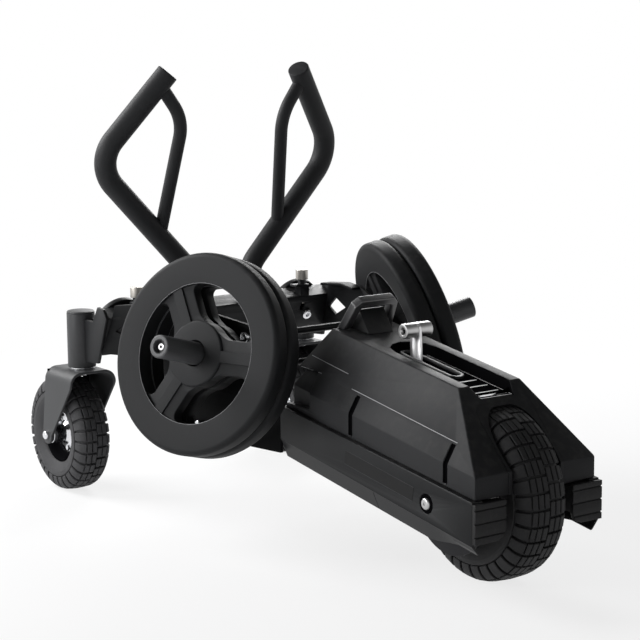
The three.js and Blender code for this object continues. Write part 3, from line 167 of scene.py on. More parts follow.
class Wire:
    """A value in a material. Arithmetic on it adds Math nodes."""

    def __init__(self, board, socket):
        self.board, self.socket = board, socket

    def _math(self, operation, *values):
        return self.board.node("ShaderNodeMath", {"operation": operation}, dict(enumerate(values)))

    def __add__(self, other):
        return self._math("ADD", self, other)

    __radd__ = __add__

    def __sub__(self, other):
        return self._math("SUBTRACT", self, other)

    def __rsub__(self, other):
        return self._math("SUBTRACT", other, self)

    def __mul__(self, other):
        return self._math("MULTIPLY", self, other)

    __rmul__ = __mul__

    def most(self, other):
        """The greater of two values."""
        return self._math("MAXIMUM", self, other)

    def ramped(self, low, high):
        """0 below low and 1 above high, with a smooth step between."""
        return self.board.node(
            "ShaderNodeMapRange",
            {"interpolation_type": "SMOOTHSTEP"},
            {"Value": self, "From Min": low, "From Max": high},
        )


class Board:
    """The node tree of a material or of the world."""

    def __init__(self, owner):
        owner.use_nodes = True
        self.owner, self.tree = owner, owner.node_tree
        self.shader = self.tree.nodes.get("Principled BSDF")

    def node(self, kind, settings, values, output=0):
        """Adds a node: its settings first, then the numbers or wires of its sockets."""
        made = self.tree.nodes.new(kind)
        for key, value in settings.items():
            setattr(made, key, value)
        for key, value in values.items():
            self.feed(made.inputs[key], value)
        return Wire(self, made.outputs[output])

    def feed(self, socket, value):
        """Puts a number, colour or wire on a socket."""
        if isinstance(value, Wire):
            self.tree.links.new(value.socket, socket)
        else:
            socket.default_value = value

    def surface(self, **values):
        """Sets sockets of the Principled shader, an underscore standing for a space."""
        for key, value in values.items():
            self.feed(self.shader.inputs[key.replace("_", " ")], value)
        return self.owner

    def here(self):
        """Place on the object, in metres."""
        return self.node("ShaderNodeTexCoord", {}, {}, "Object")

    def noise(self, scale, detail=2.0, stretch=None, rough=0.5):
        """Noise between 0 and 1 at a number of waves to the metre, drawn out by a stretch."""
        at = self.here()
        if stretch is not None:
            at = self.node("ShaderNodeMapping", {}, {"Vector": at, "Scale": stretch})
        return self.node(
            "ShaderNodeTexNoise",
            {},
            {"Vector": at, "Scale": scale, "Detail": detail, "Roughness": rough},
            "Fac",
        )

    def tint(self, factor, first, second):
        """A colour between two others."""
        return self.node(
            "ShaderNodeMix",
            {"data_type": "RGBA", "clamp_factor": True},
            {0: factor, 6: first, 7: second},
            2,
        )

    def bump(self, height, distance):
        """A normal that follows a height."""
        return self.node("ShaderNodeBump", {}, {"Height": height, "Distance": distance})

    def seen(self):
        """1 for what the camera, gloss and glass see, 0 for the light that falls on matt faces."""
        rays = [self.node("ShaderNodeLightPath", {}, {}, name)
                for name in ("Is Camera Ray", "Is Glossy Ray", "Is Transmission Ray")]
        return rays[0].most(rays[1]).most(rays[2])

    def upward(self):
        """How far the surface faces the sky, from -1 to 1."""
        normal = self.node("ShaderNodeNewGeometry", {}, {}, "Normal")
        return self.node("ShaderNodeSeparateXYZ", {}, {"Vector": normal}, 2)


def shade(rgb, share):
    """The red, green and blue of a colour times a share, with full alpha."""
    return (*(min(1.0, part * share) for part in rgb[:3]), 1.0)


def coat(name, rgb, rough, grain, depth, gloss, dust=0.5):
    """Powder coat or moulded plastic: fine orange peel, cloudy gloss and a trace of dust on what
    faces up."""
    board = Board(bpy.data.materials.new(name))
    cloud = board.noise(14.0, 4.0)
    speck = board.noise(grain, 2.0)
    grime = board.noise(55.0, 5.0).ramped(0.42, 0.72)
    settled = board.upward().ramped(0.25, 0.95) * grime * dust
    body = board.tint(cloud, shade(rgb, 0.82), shade(rgb, 1.18))
    speckled = board.tint(speck.ramped(0.45, 0.75) * 0.35, body, shade(rgb, 1.5))
    dusty = board.tint(settled * 0.22, speckled, shade((0.22, 0.21, 0.20), 1.0))
    return board.surface(
        Base_Color=dusty,
        Roughness=rough - 0.05 + cloud * 0.08 + speck * 0.04 + settled * 0.1,
        Normal=board.bump(speck + board.noise(grain * 0.3, 2.0) * 0.6, depth),
        Specular_IOR_Level=gloss,
    )


def metal(name, rgb, rough, stretch):
    """Bare metal: drawn-out polishing lines, cloudy gloss and fine scratches."""
    board = Board(bpy.data.materials.new(name))
    lines = board.noise(240.0, 3.0, stretch=stretch)
    cloud = board.noise(30.0, 4.0)
    nick = board.noise(700.0, 2.0, stretch=(0.15, 1.0, 1.0)).ramped(0.68, 0.74)
    return board.surface(
        Base_Color=board.tint(cloud * 0.6 + lines * 0.4, shade(rgb, 0.84), shade(rgb, 1.06)),
        Metallic=1.0,
        Roughness=rough + lines * 0.09 + cloud * 0.06 + nick * 0.05,
        Normal=board.bump(lines + nick * 0.3, 0.000025),
    )


def rubber(name, rgb, rough):
    """Moulded rubber: dull, faintly mottled, with dust in its hollows and fine skin."""
    board = Board(bpy.data.materials.new(name))
    cloud = board.noise(24.0, 5.0)
    skin = board.noise(620.0, 3.0)
    dust = board.noise(90.0, 6.0, rough=0.65).ramped(0.5, 0.78)
    body = board.tint(cloud, shade(rgb, 0.8), shade(rgb, 1.3))
    return board.surface(
        Base_Color=board.tint(dust * 0.10, body, shade((0.16, 0.155, 0.15), 1.0)),
        Roughness=rough + cloud * 0.08 - skin * 0.06 + dust * 0.06,
        Normal=board.bump(skin + cloud * 2.0, 0.00008),
        Specular_IOR_Level=0.22,
    )


def make_finishes():
    """Every finish of the sled, by its use. After the colour, a coat has its roughness, waves of
    grain to the metre, depth of grain, gloss and dust, a rubber its roughness, and a metal its
    roughness and the stretch of its polishing lines."""
    hue = bpy.context.scene.push_sled_colours
    # The side members' coat is the frame black darkened to 0.45: painted shade on their webs.
    member_painted_shade = shade(hue.frame_black, 0.45)
    # The edge colour is the horn grey lightened 2.4 times: a painted highlight along the plates'
    # ring edges.
    painted_highlight_grey = shade(hue.horn_grey, 2.4)
    # The recess colour is a near-black painted shade; the label colour is the label's own.
    recess, label = (0.0035, 0.0035, 0.004), (0.005, 0.005, 0.0055)
    return {
        "frame": coat("frame_powder_coat", hue.frame_black, 0.42, 1100.0, 0.00005, 0.16),
        "member": coat("shaded_powder_coat", member_painted_shade, 0.5, 1100.0, 0.00004, 0.06),
        "fork": coat("fork_powder_coat", hue.fork_grey, 0.46, 1000.0, 0.00006, 0.26),
        "hood": coat("hood_moulded_grain", hue.hood_black, 0.5, 1500.0, 0.00007, 0.11),
        # The trough finish is painted shade: near-black for the hood's recesses, rim wells, holes,
        # sockets, pockets and the strip behind each fork.
        "trough": coat("recess_matt_black", recess, 0.8, 1200.0, 0.00004, 0.0, 0.0),
        "plate": coat("plate_satin_coat", hue.plate_black, 0.54, 760.0, 0.00003, 0.11, 0.3),
        "handle": coat("handle_textured_coat", hue.hood_black, 0.52, 700.0, 0.000006, 0.14, 0.3),
        "horn": coat("horn_worn_coat", hue.horn_grey, 0.42, 600.0, 0.00001, 0.3, 0.2),
        # Painted highlight for the thin light lines on the plates' inner ring edges.
        "edge": coat("worn_casting_edge", painted_highlight_grey, 0.4, 600.0, 0.00002, 0.4, 0.0),
        "bumper": rubber("bumper_rubber", shade(hue.rubber, 0.65), 0.62),
        "tyre": rubber("tyre_rubber", hue.rubber, 0.62),
        "caster_tyre": rubber("caster_tyre_rubber", shade(hue.rubber, 2.1), 0.66),
        "bright": metal("bright_steel", hue.bright, 0.14, (1.0, 1.0, 0.2)),
        "satin": metal("satin_steel", hue.satin, 0.32, (1.0, 0.1, 1.0)),
        "blade": metal("lever_blade_steel", hue.blade, 0.34, (1.0, 1.0, 0.4)),
        "knob": metal("turned_knob", hue.knob, 0.36, (0.1, 0.1, 1.0)),
        "cast": coat("lift_handle_coat", hue.cast, 0.30, 900.0, 0.00002, 0.9, 0.3),
        # The disc finish is painted shade: near-black for the brake disc under the body.
        "disc": metal("blackened_disc", hue.disc, 0.5, (1.0, 0.3, 1.0)),
        # The stripe finish serves the printed lines and the painted highlight on the tail recess's
        # lip.
        "stripe": coat("printed_stripe", hue.stripe, 0.5, 900.0, 0.00002, 0.2, 0.1),
        "mark": coat("trough_print", hue.mark, 0.5, 900.0, 0.00002, 0.2, 0.0),
        "label": coat("bare_label", label, 0.36, 1300.0, 0.00001, 0.16, 0.1),
    }


finishes = {}


def finish(name):
    """The finish of that name, all of them being made at the first call."""
    if not finishes:
        finishes.update(make_finishes())
    return finishes[name]


# Shapes: each is a pair of arrays, corners and four-sided faces

SAME_PLACE = 2e-6
ROUND = 2 * math.pi
QUARTER = math.pi / 2


def unit(vectors):
    """Vectors of length one."""
    vectors = np.asarray(vectors, float)
    return vectors / np.linalg.norm(vectors, axis=-1, keepdims=True)


def grid_faces(rows, columns, close_rows=False, close_columns=False):
    """Faces between the neighbouring points of a grid, whose closed directions meet their own
    start."""
    i = np.arange(rows if close_rows else rows - 1)[:, None]
    j = np.arange(columns if close_columns else columns - 1)[None, :]
    after_i, after_j = (i + 1) % rows, (j + 1) % columns
    corners = [row * columns + column
               for row, column in ((i, j), (i, after_j), (after_i, after_j), (after_i, j))]
    return np.stack(np.broadcast_arrays(*corners), -1).reshape(-1, 4)


def joined(*shapes):
    """Several shapes in one pair of arrays."""
    starts = np.cumsum([0] + [len(points) for points, _ in shapes[:-1]])
    faces = [quads + start for (_, quads), start in zip(shapes, starts)]
    return np.concatenate([points for points, _ in shapes]), np.concatenate(faces)


def turning(origin, axis, start=(1.0, 0.0, 0.0)):
    """A turning frame: its origin, the way its angle starts, the way it turns to, and its axis."""
    axis = unit(axis)
    start = np.asarray(start, float)
    across = unit(start - axis * np.dot(start, axis))
    return np.asarray(origin, float), across, np.cross(axis, across), axis


def placed(around, across, up, along):
    """Points at three distances along a turning frame's own directions."""
    origin, x, y, z = around
    return origin + across[..., None] * x + up[..., None] * y + along[..., None] * z


def turned(profile, around, sides=96, ring=False):
    """A profile of (radius, place along the axis) turned round the axis: across = radius cos(a),
    up = radius sin(a). A ring's profile closes on itself; any other starts and ends on the axis."""
    radius, along = np.asarray(profile, float).T
    angle = np.arange(sides) * (ROUND / sides)
    across = np.cos(angle)[:, None] * radius
    up = np.sin(angle)[:, None] * radius
    points = placed(around, across, up, np.broadcast_to(along, across.shape))
    return points.reshape(-1, 3), grid_faces(sides, len(radius), True, ring)


def smooth_line(points, radii, steps=6, closed=False):
    """A line with round corners. Between the tangent points a and b of a corner c lies the arc
    (a(1-t)^2 + 2wct(1-t) + bt^2) / ((1-t)^2 + 2wt(1-t) + t^2), w being the sine of half the
    corner's angle."""
    points = np.asarray(points, float)
    radii = np.broadcast_to(np.asarray(radii, float), len(points))[:, None]
    back = unit(np.roll(points, 1, 0) - points)
    on = unit(np.roll(points, -1, 0) - points)
    half = np.arccos(np.clip((back * on).sum(-1, keepdims=True), -1, 1)) / 2
    reach = radii / np.tan(np.maximum(half, 1e-6))
    weight = np.sin(half)[:, None]
    start, end = (points + back * reach)[:, None], (points + on * reach)[:, None]
    t = np.linspace(0, 1, steps)[None, :, None]
    arc = start * (1 - t) ** 2 + 2 * weight * points[:, None] * t * (1 - t) + end * t**2
    arc = arc / ((1 - t) ** 2 + 2 * weight * t * (1 - t) + t**2)
    line = arc.reshape(-1, points.shape[1])
    if not closed:
        line = np.concatenate([points[:1], line[steps:-steps], points[-1:]])
    keep = np.linalg.norm(np.diff(line, axis=0, prepend=line[:1] + 1), axis=1) > 1e-7
    return line[keep]


def run_of(line):
    """How far along a line each of its points lies."""
    return np.concatenate([[0], np.cumsum(np.linalg.norm(np.diff(line, axis=0), axis=1))])


def between(at, along, rows):
    """Rows of numbers read off at some distances, where each row's own distance is known."""
    return np.stack([np.interp(at, along, column) for column in rows.T], 1)


def stepped(line, spacing):
    """The line's points with others put between them, about a spacing apart."""
    along = run_of(line)
    even = np.linspace(0, along[-1], max(2, int(along[-1] / spacing)))
    return between(np.unique(np.concatenate([along, even]).round(7)), along, line)


def mirrored(half, signs):
    """Half a line and, past its last point, its mirror image."""
    return np.concatenate([half, (half * signs)[-2::-1]])


def circle(radius, sides):
    """A round section."""
    angle = np.arange(sides) * (ROUND / sides)
    return np.stack([np.cos(angle), np.sin(angle)], 1) * radius


def tube(path, radius, side, edge=0.002, sides=40, spacing=0.008):
    """A round bar along a path with flat ends whose rims are rounded by a quarter circle."""
    path = stepped(np.asarray(path, float), spacing)
    first, last = unit(path[1] - path[0]), unit(path[-1] - path[-2])
    turn = np.linspace(0, QUARTER, 4)
    inset = (edge * (1 - np.cos(turn)))[:, None]
    rim = 1 - edge / radius * (1 - np.sin(turn))
    line = np.concatenate([path[:1], path[0] + first * inset, path[1:-1],
                           (path[-1] - last * inset)[::-1], path[-1:]])
    scale = np.concatenate([[0], rim, np.ones(len(path) - 2), rim[::-1], [0]])
    middle = unit(np.gradient(path, axis=0))[1:-1]
    heading = np.concatenate([np.repeat(first[None], 5, 0), middle, np.repeat(last[None], 5, 0)])
    across = unit(np.cross(heading, np.asarray(side, float)))
    up = np.cross(heading, across)
    ring = circle(radius, sides)[None] * scale[:, None, None]
    points = line[:, None] + ring[..., :1] * across[:, None] + ring[..., 1:] * up[:, None]
    return points.reshape(-1, 3), grid_faces(len(line), sides, False, True)


def strip(rings):
    """A bar of rings of four corners, closed at both ends."""
    last = 4 * (len(rings) - 1)
    ends = [[3, 2, 1, 0], [last, last + 1, last + 2, last + 3]]
    return rings.reshape(-1, 3), np.concatenate([grid_faces(len(rings), 4, False, True), ends])


def slab(points, normals, width, thickness):
    """A thin strip along a line of points on a surface: its four edges stand half the width to
    each side of the line, at the surface and a thickness above it."""
    heading = unit(np.gradient(points, axis=0))
    across = unit(np.cross(heading, normals)) * width / 2
    lift = normals * thickness
    return strip(np.stack([points - across - lift, points - across + lift,
                           points + across + lift, points + across - lift], 1))


def sleeve(around, inner, outer, low, high, rounding, sides, steps=4):
    """A turned ring of rectangular section with rounded corners."""
    corners = [[inner, low], [outer, low], [outer, high], [inner, high]]
    return turned(smooth_line(corners, rounding, steps, closed=True), around, sides, True)


def button(around, radius, height, sides=24):
    """A short cylinder."""
    return turned([[0, 0], [radius, 0], [radius, height], [0, height]], around, sides)


def cross_rod(node, x, z, radius, inset=0.004, edge=0.001, sides=24):
    """A round bar across the sled, as long as a node's box less an inset at each end."""
    low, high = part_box(node)
    ends = [(x, low.y + inset, z), (x, high.y - inset, z)]
    return tube(ends, radius, (1, 0, 0), edge, sides)


# Pieces


def reworked(mesh, change=None):
    """Merges a mesh's points that share a place, makes a change, turns the faces outwards and
    smooths their shading."""
    work = bmesh.new()
    work.from_mesh(mesh)
    bmesh.ops.remove_doubles(work, verts=work.verts, dist=SAME_PLACE)
    if change:
        change(work)
    bmesh.ops.recalc_face_normals(work, faces=work.faces)
    work.to_mesh(mesh)
    work.free()
    mesh.shade_smooth()


def piece(name, shape, look, stands_for=(), body="frame", crease=32.0):
    """Makes a shape, or a list of them, into an object: seams and poles are merged, faces turned
    outwards, edges sharper than the crease kept sharp, and the piece set to ride on its body."""
    points, quads = joined(*shape) if isinstance(shape, list) else shape
    mesh = bpy.data.meshes.new(name)
    mesh.from_pydata(points, [], quads)
    reworked(mesh)
    mesh.set_sharp_from_angle(angle=math.radians(crease))
    settle(bpy.data.objects.new(name, mesh), look, body, stands_for)


def settle(item, look, body, stands_for):
    """Links a piece, gives it its finish, lets it ride on its body and hides the nodes it stands
    for."""
    bpy.context.scene.collection.objects.link(item)
    item.data.materials.clear()
    item.data.materials.append(finish(look))
    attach(item, body)
    if stands_for:
        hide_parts(*stands_for)


def softened(node, name, look, width, steps=2):
    """A copy of a plate, casting or folded piece: its loose triangles are joined, its flat faces
    made whole and its edges rounded."""
    mesh = frame["nodes"][node].data.copy()
    mesh.name = name

    def flattened(work):
        """Joins faces that lie in one plane."""
        flat = math.radians(0.8)
        bmesh.ops.dissolve_limit(work, angle_limit=flat, verts=work.verts, edges=work.edges)

    reworked(mesh, flattened)
    item = bpy.data.objects.new(name, mesh)
    body = frame["nodes"][node]["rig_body"]
    settle(item, look, body, (node,))
    bevel = item.modifiers.new("rounded_edges", "BEVEL")
    bevel.width, bevel.segments = width, steps
    bevel.limit_method, bevel.angle_limit = "ANGLE", math.radians(24.0)
    bevel.use_clamp_overlap = False
    bevel.harden_normals = True
    bevel.miter_outer = "MITER_ARC"
    return item


def hull_depth(node, points):
    """How deep points lie under the convex hull of a node: the least distance to its planes."""
    work = bmesh.new()
    work.from_mesh(frame["nodes"][node].data)
    bmesh.ops.delete(work, geom=work.faces[:], context="FACES_ONLY")
    bmesh.ops.remove_doubles(work, verts=work.verts, dist=SAME_PLACE)
    made = bmesh.ops.convex_hull(work, input=work.verts)["geom"]
    work.normal_update()
    faces = [item for item in made if isinstance(item, bmesh.types.BMFace)]
    planes = np.array([(*face.normal, face.normal.dot(face.verts[0].co)) for face in faces])
    work.free()
    return (planes[:, 3] - points @ planes[:, :3].T).min(1)


def darkened(item, node, look, depth, rear):
    """Paints shade into a moulding's recesses: the faces that lie deeper than a depth under its
    hull, ahead of a place along it, get a second finish."""
    middles = np.array([face.center for face in item.data.polygons], float)
    deep = (hull_depth(node, middles) > depth) & (middles[:, 0] > rear)
    item.data.materials.append(finish(look))
    item.data.polygons.foreach_set("material_index", deep.astype(np.int32))
    item.data.update()


def notched(item, edge):
    """Cuts a plate's lower edge back to a line of (x, z) points and closes the cut."""
    x, z = np.asarray(edge, float).T
    reach, slack = 1e-6, 0.0002

    def cut(work):
        """Splits the plate along the line, drops what lies below and fills the open rim."""
        for i in range(len(edge) - 1):
            across = (z[i] - z[i + 1], 0.0, x[i + 1] - x[i])
            bmesh.ops.bisect_plane(work, geom=work.verts[:] + work.edges[:] + work.faces[:],
                                   plane_co=(x[i], 0.0, z[i]), plane_no=across, dist=reach)
        middles = [(face, face.calc_center_median()) for face in work.faces]
        below = [face for face, middle in middles
                 if x[0] < middle.x < x[-1] and middle.z < np.interp(middle.x, x, z) - slack]
        bmesh.ops.delete(work, geom=below, context="FACES")
        rim = [each for each in work.edges if each.is_boundary]
        bmesh.ops.triangle_fill(work, use_beauty=True, edges=rim)

    reworked(item.data, cut)


def head_profile(radius, height, edge, socket=0.0, depth=0.0):
    """Section of a bolt head from its seat to its middle, with a round edge and a socket."""
    turn = np.linspace(0, QUARTER, 5)
    rim = np.stack([radius - edge + edge * np.cos(turn), height - edge + edge * np.sin(turn)], 1)
    inside = [[0, height]]
    if socket:
        inside = [[socket, height], [socket, height - depth], [0, height - depth]]
    return np.concatenate([[[0, 0], [radius, 0]], rim, inside])


def hexagon_head(around, radius, height):
    """A six-sided head with a chamfered crown."""
    crown = [[radius, height * 0.8], [radius * 0.88, height], [0, height]]
    return turned([[0, 0], [radius, 0], *crown], around, 6)


# Tyres


def tyre_section(radius, bead, half):
    """Outer section of a tyre from one bead over the tread to the other: a line through shares of
    the rise and of the half width, whose corners are cut four times over."""
    shares = np.array(
        [[0, 0.68], [0.04, 0.80], [0.34, 1.02], [0.70, 0.97], [0.90, 0.80], [1, 0.52]])
    side = [bead, 0] + shares * [radius - bead, half]
    line = np.concatenate([side, (side * [1, -1])[::-1]])
    for _ in range(4):
        near = line[:-1] * 0.75 + line[1:] * 0.25
        far = line[:-1] * 0.25 + line[1:] * 0.75
        line = np.concatenate([line[:1], np.stack([near, far], 1).reshape(-1, 2), line[-1:]])
    return line


def section_finder(line):
    """Arc length of a tyre's section from its crown, with its radius, place across and normal."""
    arc = run_of(line)
    arc -= arc[-1] / 2
    heading = unit(np.gradient(line, axis=0))
    normal = np.stack([-heading[:, 1], heading[:, 0]], 1)
    normal *= np.sign(normal[len(line) // 2, 0])
    return arc, line, normal


def tread_blocks(finder, first, last, angles, wide, height, edge, stations):
    """Blocks on a tyre: each runs from one arc length across the section to another, and its
    rings of six points stand on the carcass, rise to the outer section and step in by an edge."""
    arc, line, normal = finder
    across = np.concatenate([[0, edge], np.linspace(edge, last - first - edge, stations)[1:-1],
                             [last - first - edge, last - first]]) + first
    drop = np.where((across < first + edge / 2) | (across > last - edge / 2), edge, 0.0)
    at = between(across, arc, line)
    out = unit(between(across, arc, normal))
    depth = np.array([height, edge, 0, 0, edge, height])[None] + drop[:, None]
    depth[:, [0, 5]] = height
    swing = np.array([-wide, -wide, edge - wide, wide - edge, wide, wide])
    radius = at[:, None, 0] - depth * out[:, None, 0]
    side = at[:, None, 1] - depth * out[:, None, 1]
    turn = angles[:, None, None] + swing[None, None] / line[:, 0].max()
    points = np.stack([radius * np.cos(turn), np.broadcast_to(side, turn.shape[:1] + side.shape),
                       radius * np.sin(turn)], -1)
    count, rings = len(angles), len(across)
    body = grid_faces(rings, 6, False, True)
    end = 6 * (rings - 1)
    caps = np.array([[0, 1, 4, 5], [1, 2, 3, 4]])
    one = np.concatenate([body, caps, caps[:, ::-1] + end])
    quads = one[None] + (np.arange(count) * rings * 6)[:, None, None]
    return points.reshape(-1, 3), quads.reshape(-1, 4)


def tyre(name, centre, radius, bead, half, count, columns, lug, body, node, look="tyre"):
    """A block-tread tyre: staggered columns of blocks on each half of the crown, lugs that wrap the
    shoulders, and a turned carcass. The carcass lies a block's height h under the outer section,
    rises to it where the lugs end, and past them carries a ridge r exp(-((s - p) / w)^2)."""
    size = bpy.context.scene.push_sled_sizes
    line = tyre_section(radius, bead, half)
    finder = section_finder(line)
    arc, _, normal = finder
    height, gap = size.block_height, size.block_gap / 2
    past_lug = np.abs(arc) - lug[1]
    overlap, slope = 0.001, 0.0025
    inset = height * (1 - np.clip((past_lug + overlap) / slope, 0, 1))
    ridge_rise, ridge_place, ridge_width = 0.0007, 0.011, 0.0012
    ridge = ridge_rise * np.exp(-(((past_lug - ridge_place) / ridge_width) ** 2))
    carcass = line - normal * inset[:, None] + normal * ridge[:, None]
    inside = bead - 0.004
    seat = [[inside, -half * 0.6], [inside, half * 0.6]]
    around = turning(centre, (0, 1, 0))
    shapes = [turned(np.concatenate([carcass, seat]), around, 144, ring=True)]
    pitch = ROUND / count
    block = pitch * radius / 2 - size.block_cross / 2
    block_edge, lug_edge, sunk = 0.0009, 0.0014, 0.0006
    bands = [(*column, block, block_edge, 4) for column in zip(columns[:-1], columns[1:])]
    bands.append((*lug, block * 0.96, lug_edge, 8))
    for side in (-1, 1):
        turn = (np.arange(count) + (0.5 if side > 0 else 0.0)) * pitch
        for near, far, wide, edge, stations in bands:
            low, high = sorted((side * near, side * far))
            points, quads = tread_blocks(finder, low + gap, high - gap, turn, wide,
                                         height + sunk, edge, stations)
            shapes.append((points + centre, quads))
    piece(name, shapes, look, (node,), body, 30.0)


def rim_shapes(centre, bead, half, hub, hub_half, bore, split, sides=96):
    """A wheel's dished centre and, outside a split radius, its barrel with rolled flanges, both
    turned round the axle."""
    lip, flat = half * 0.70, 0.006
    dish = smooth_line(
        [[bore, hub_half], [hub, hub_half], [hub, 0.020], [hub + 0.008, 0.012],
         [split * 0.93, 0.009], [split, flat]], [0, 0.002, 0.004, 0.004, 0.002, 0], 5)
    barrel = smooth_line(
        [[split + 0.0003, flat], [bead * 0.80, flat], [bead * 0.84, lip - 0.016],
         [bead * 0.88, lip - 0.004], [bead * 0.93, lip], [bead + 0.002, lip - 0.001],
         [bead - 0.001, lip - 0.008]], [0, 0.004, 0.006, 0.004, 0.003, 0.001, 0], 5)
    around = turning(centre, (0, 1, 0))
    return [turned(np.concatenate([line, (line * [1, -1])[::-1]]), around, sides, ring=True)
            for line in (dish, barrel)]


def pivot(name):
    """Place of a joint."""
    return np.array(joints[name]["pos_m"], float)


def fork_shape(post, axle, top):
    """A caster fork bent from one plate: the middle line runs up one cheek, round a quarter circle,
    over the crown and down the other side, and at each of its points the plate reaches from the
    front edge's x to the rear edge's x, which close to a half circle round the axle."""
    half, thick, corner, boss, edge = 0.0618, 0.006, 0.030, 0.0218, 0.0011
    ahead, behind, neck = 0.0528, 0.0738, 0.034
    bend = top - corner
    rise = np.concatenate([axle[2] - boss * np.cos(np.linspace(0, QUARTER, 9)),
                           np.linspace(axle[2], bend, 16)[1:]])
    turn = np.linspace(0, QUARTER, 9)[1:]
    y = np.concatenate([np.full(len(rise), -half), corner - half - corner * np.cos(turn),
                        np.linspace(corner - half, 0, 5)[1:]])
    z = np.concatenate([rise, bend + corner * np.sin(turn), np.full(4, top)])
    out = np.concatenate([np.tile([-1.0, 0.0], (len(rise), 1)),
                          np.stack([-np.cos(turn), np.sin(turn)], 1), np.tile([0.0, 1.0], (4, 1))])
    low = np.sqrt(np.maximum(boss**2 - np.minimum(z - axle[2], 0) ** 2, 0))
    high = np.clip((z - axle[2]) / (top - neck - axle[2]), 0, 1)
    front = axle[0] + low + high * (post[0] + ahead - axle[0] - boss)
    rear = axle[0] - low + high * (post[0] - behind - axle[0] + boss)
    y, out = mirrored(y, -1), mirrored(out, [-1, 1])
    z, front, rear = (mirrored(line, 1) for line in (z, front, rear))
    wide = np.minimum(edge, (front - rear) / 2)
    depth = np.array([0, edge, thick - edge, thick, thick, thick - edge, edge, 0])
    inset = np.array([1, 0, 0, 1, 1, 0, 0, 1])[None] * wide[:, None]
    x = np.where(np.arange(8)[None] < 4, front[:, None] - inset, rear[:, None] + inset)
    side = axle[1] + y[:, None] - out[:, :1] * depth
    level = z[:, None] - out[:, 1:] * depth
    points = np.stack([x, side, level], -1).reshape(-1, 3)
    quads = grid_faces(len(y), 8, False, True)
    last = 8 * (len(y) - 1)
    caps = np.array([[0, 1, 6, 7], [1, 2, 5, 6], [2, 3, 4, 5]])
    return points, np.concatenate([quads, caps, caps[:, ::-1] + last])


def fork_shade_strip(post, axle, top):
    """A flat, dark strip of painted shade that closes a fork behind its crown: its lower edge lies
    above the axle by a height that falls with the distance from the tyre's middle, as the tyre's
    shoulder does."""
    reach, under = 0.0555, 0.0055
    across = np.linspace(-reach, reach, 29)
    low = axle[2] + np.interp(np.abs(across), [0.026, 0.036, 0.044, 0.048],
                              [0.1424, 0.1372, 0.1245, 0.112])
    high = np.full(len(across), top - under)
    near, far = post[0] - 0.0725, post[0] - 0.0690
    rows = [np.stack(np.broadcast_arrays(x, axle[1] + across, z), -1)
            for x, z in ((near, low), (near, high), (far, high), (far, low))]
    return strip(np.stack(rows, 1))


class PUSHSLED_OT_front_wheel(bpy.types.Operator):
    """Tyre, rim, hub, brake disc and axle of the front wheel"""

    bl_idname = "pushsled.front_wheel"
    bl_label = "Front wheel"

    def execute(self, context):
        size = context.scene.push_sled_sizes
        wheel, centre = "front_wheel", pivot("front_wheel_spin")
        around = turning(centre, (0, 1, 0))
        hub, hub_half, bore, split = 0.026, 0.042, 0.0204, 0.055
        tyre("front_tyre_tread", centre, size.front_radius, size.front_bead, size.front_half,
             size.front_blocks, (0.0, 0.0145, 0.029, 0.043), (0.043, 0.082), wheel, "front_tyre")
        dish, barrel = rim_shapes(centre, size.front_bead, size.front_half, hub, hub_half, bore,
                                  split)
        piece("front_rim_dish", dish, "satin", ("front_rim",), wheel)
        piece("front_rim_barrel", barrel, "frame", ("front_rim",), wheel)
        low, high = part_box("wheel_hub")
        half, edge = (high.y - low.y) / 2, 0.0008
        liner = sleeve(around, 0.0103, 0.0199, -half, half, edge, 48)
        piece("wheel_hub_sleeve", liner, "satin", ("wheel_hub",), wheel)
        low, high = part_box("brake_disc")
        disc_radius, edge = 0.1148, 0.0006
        # The brake disc face takes the near-black painted shade.
        disc = sleeve(around, bore, disc_radius, low.y, high.y, edge, 96, 3)
        piece("brake_disc_face", disc, "disc", ("brake_disc",), wheel)
        axle_radius = 0.0099
        bolt = [cross_rod("wheel_axle", centre[0], centre[2], axle_radius, sides=32)]
        rings = []
        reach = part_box("wheel_axle")[1].y - 0.0090
        for _, side in HANDS:
            head = turning(centre + [0, side * reach, 0], (0, side, 0))
            bolt.append(turned(head_profile(0.0122, 0.0062, 0.0046, 0.0034, 0.002), head, 48))
            rings.append(sleeve(head, 0.0125, 0.0198, 0, 0.0014, [0, 0, 0.0006, 0.0004], 64))
        piece("wheel_axle_bolt", bolt, "satin", ("wheel_axle",))
        # The dark rings in the axle pockets are near-black painted shade.
        piece("wheel_axle_rings", rings, "trough")
        return {"FINISHED"}


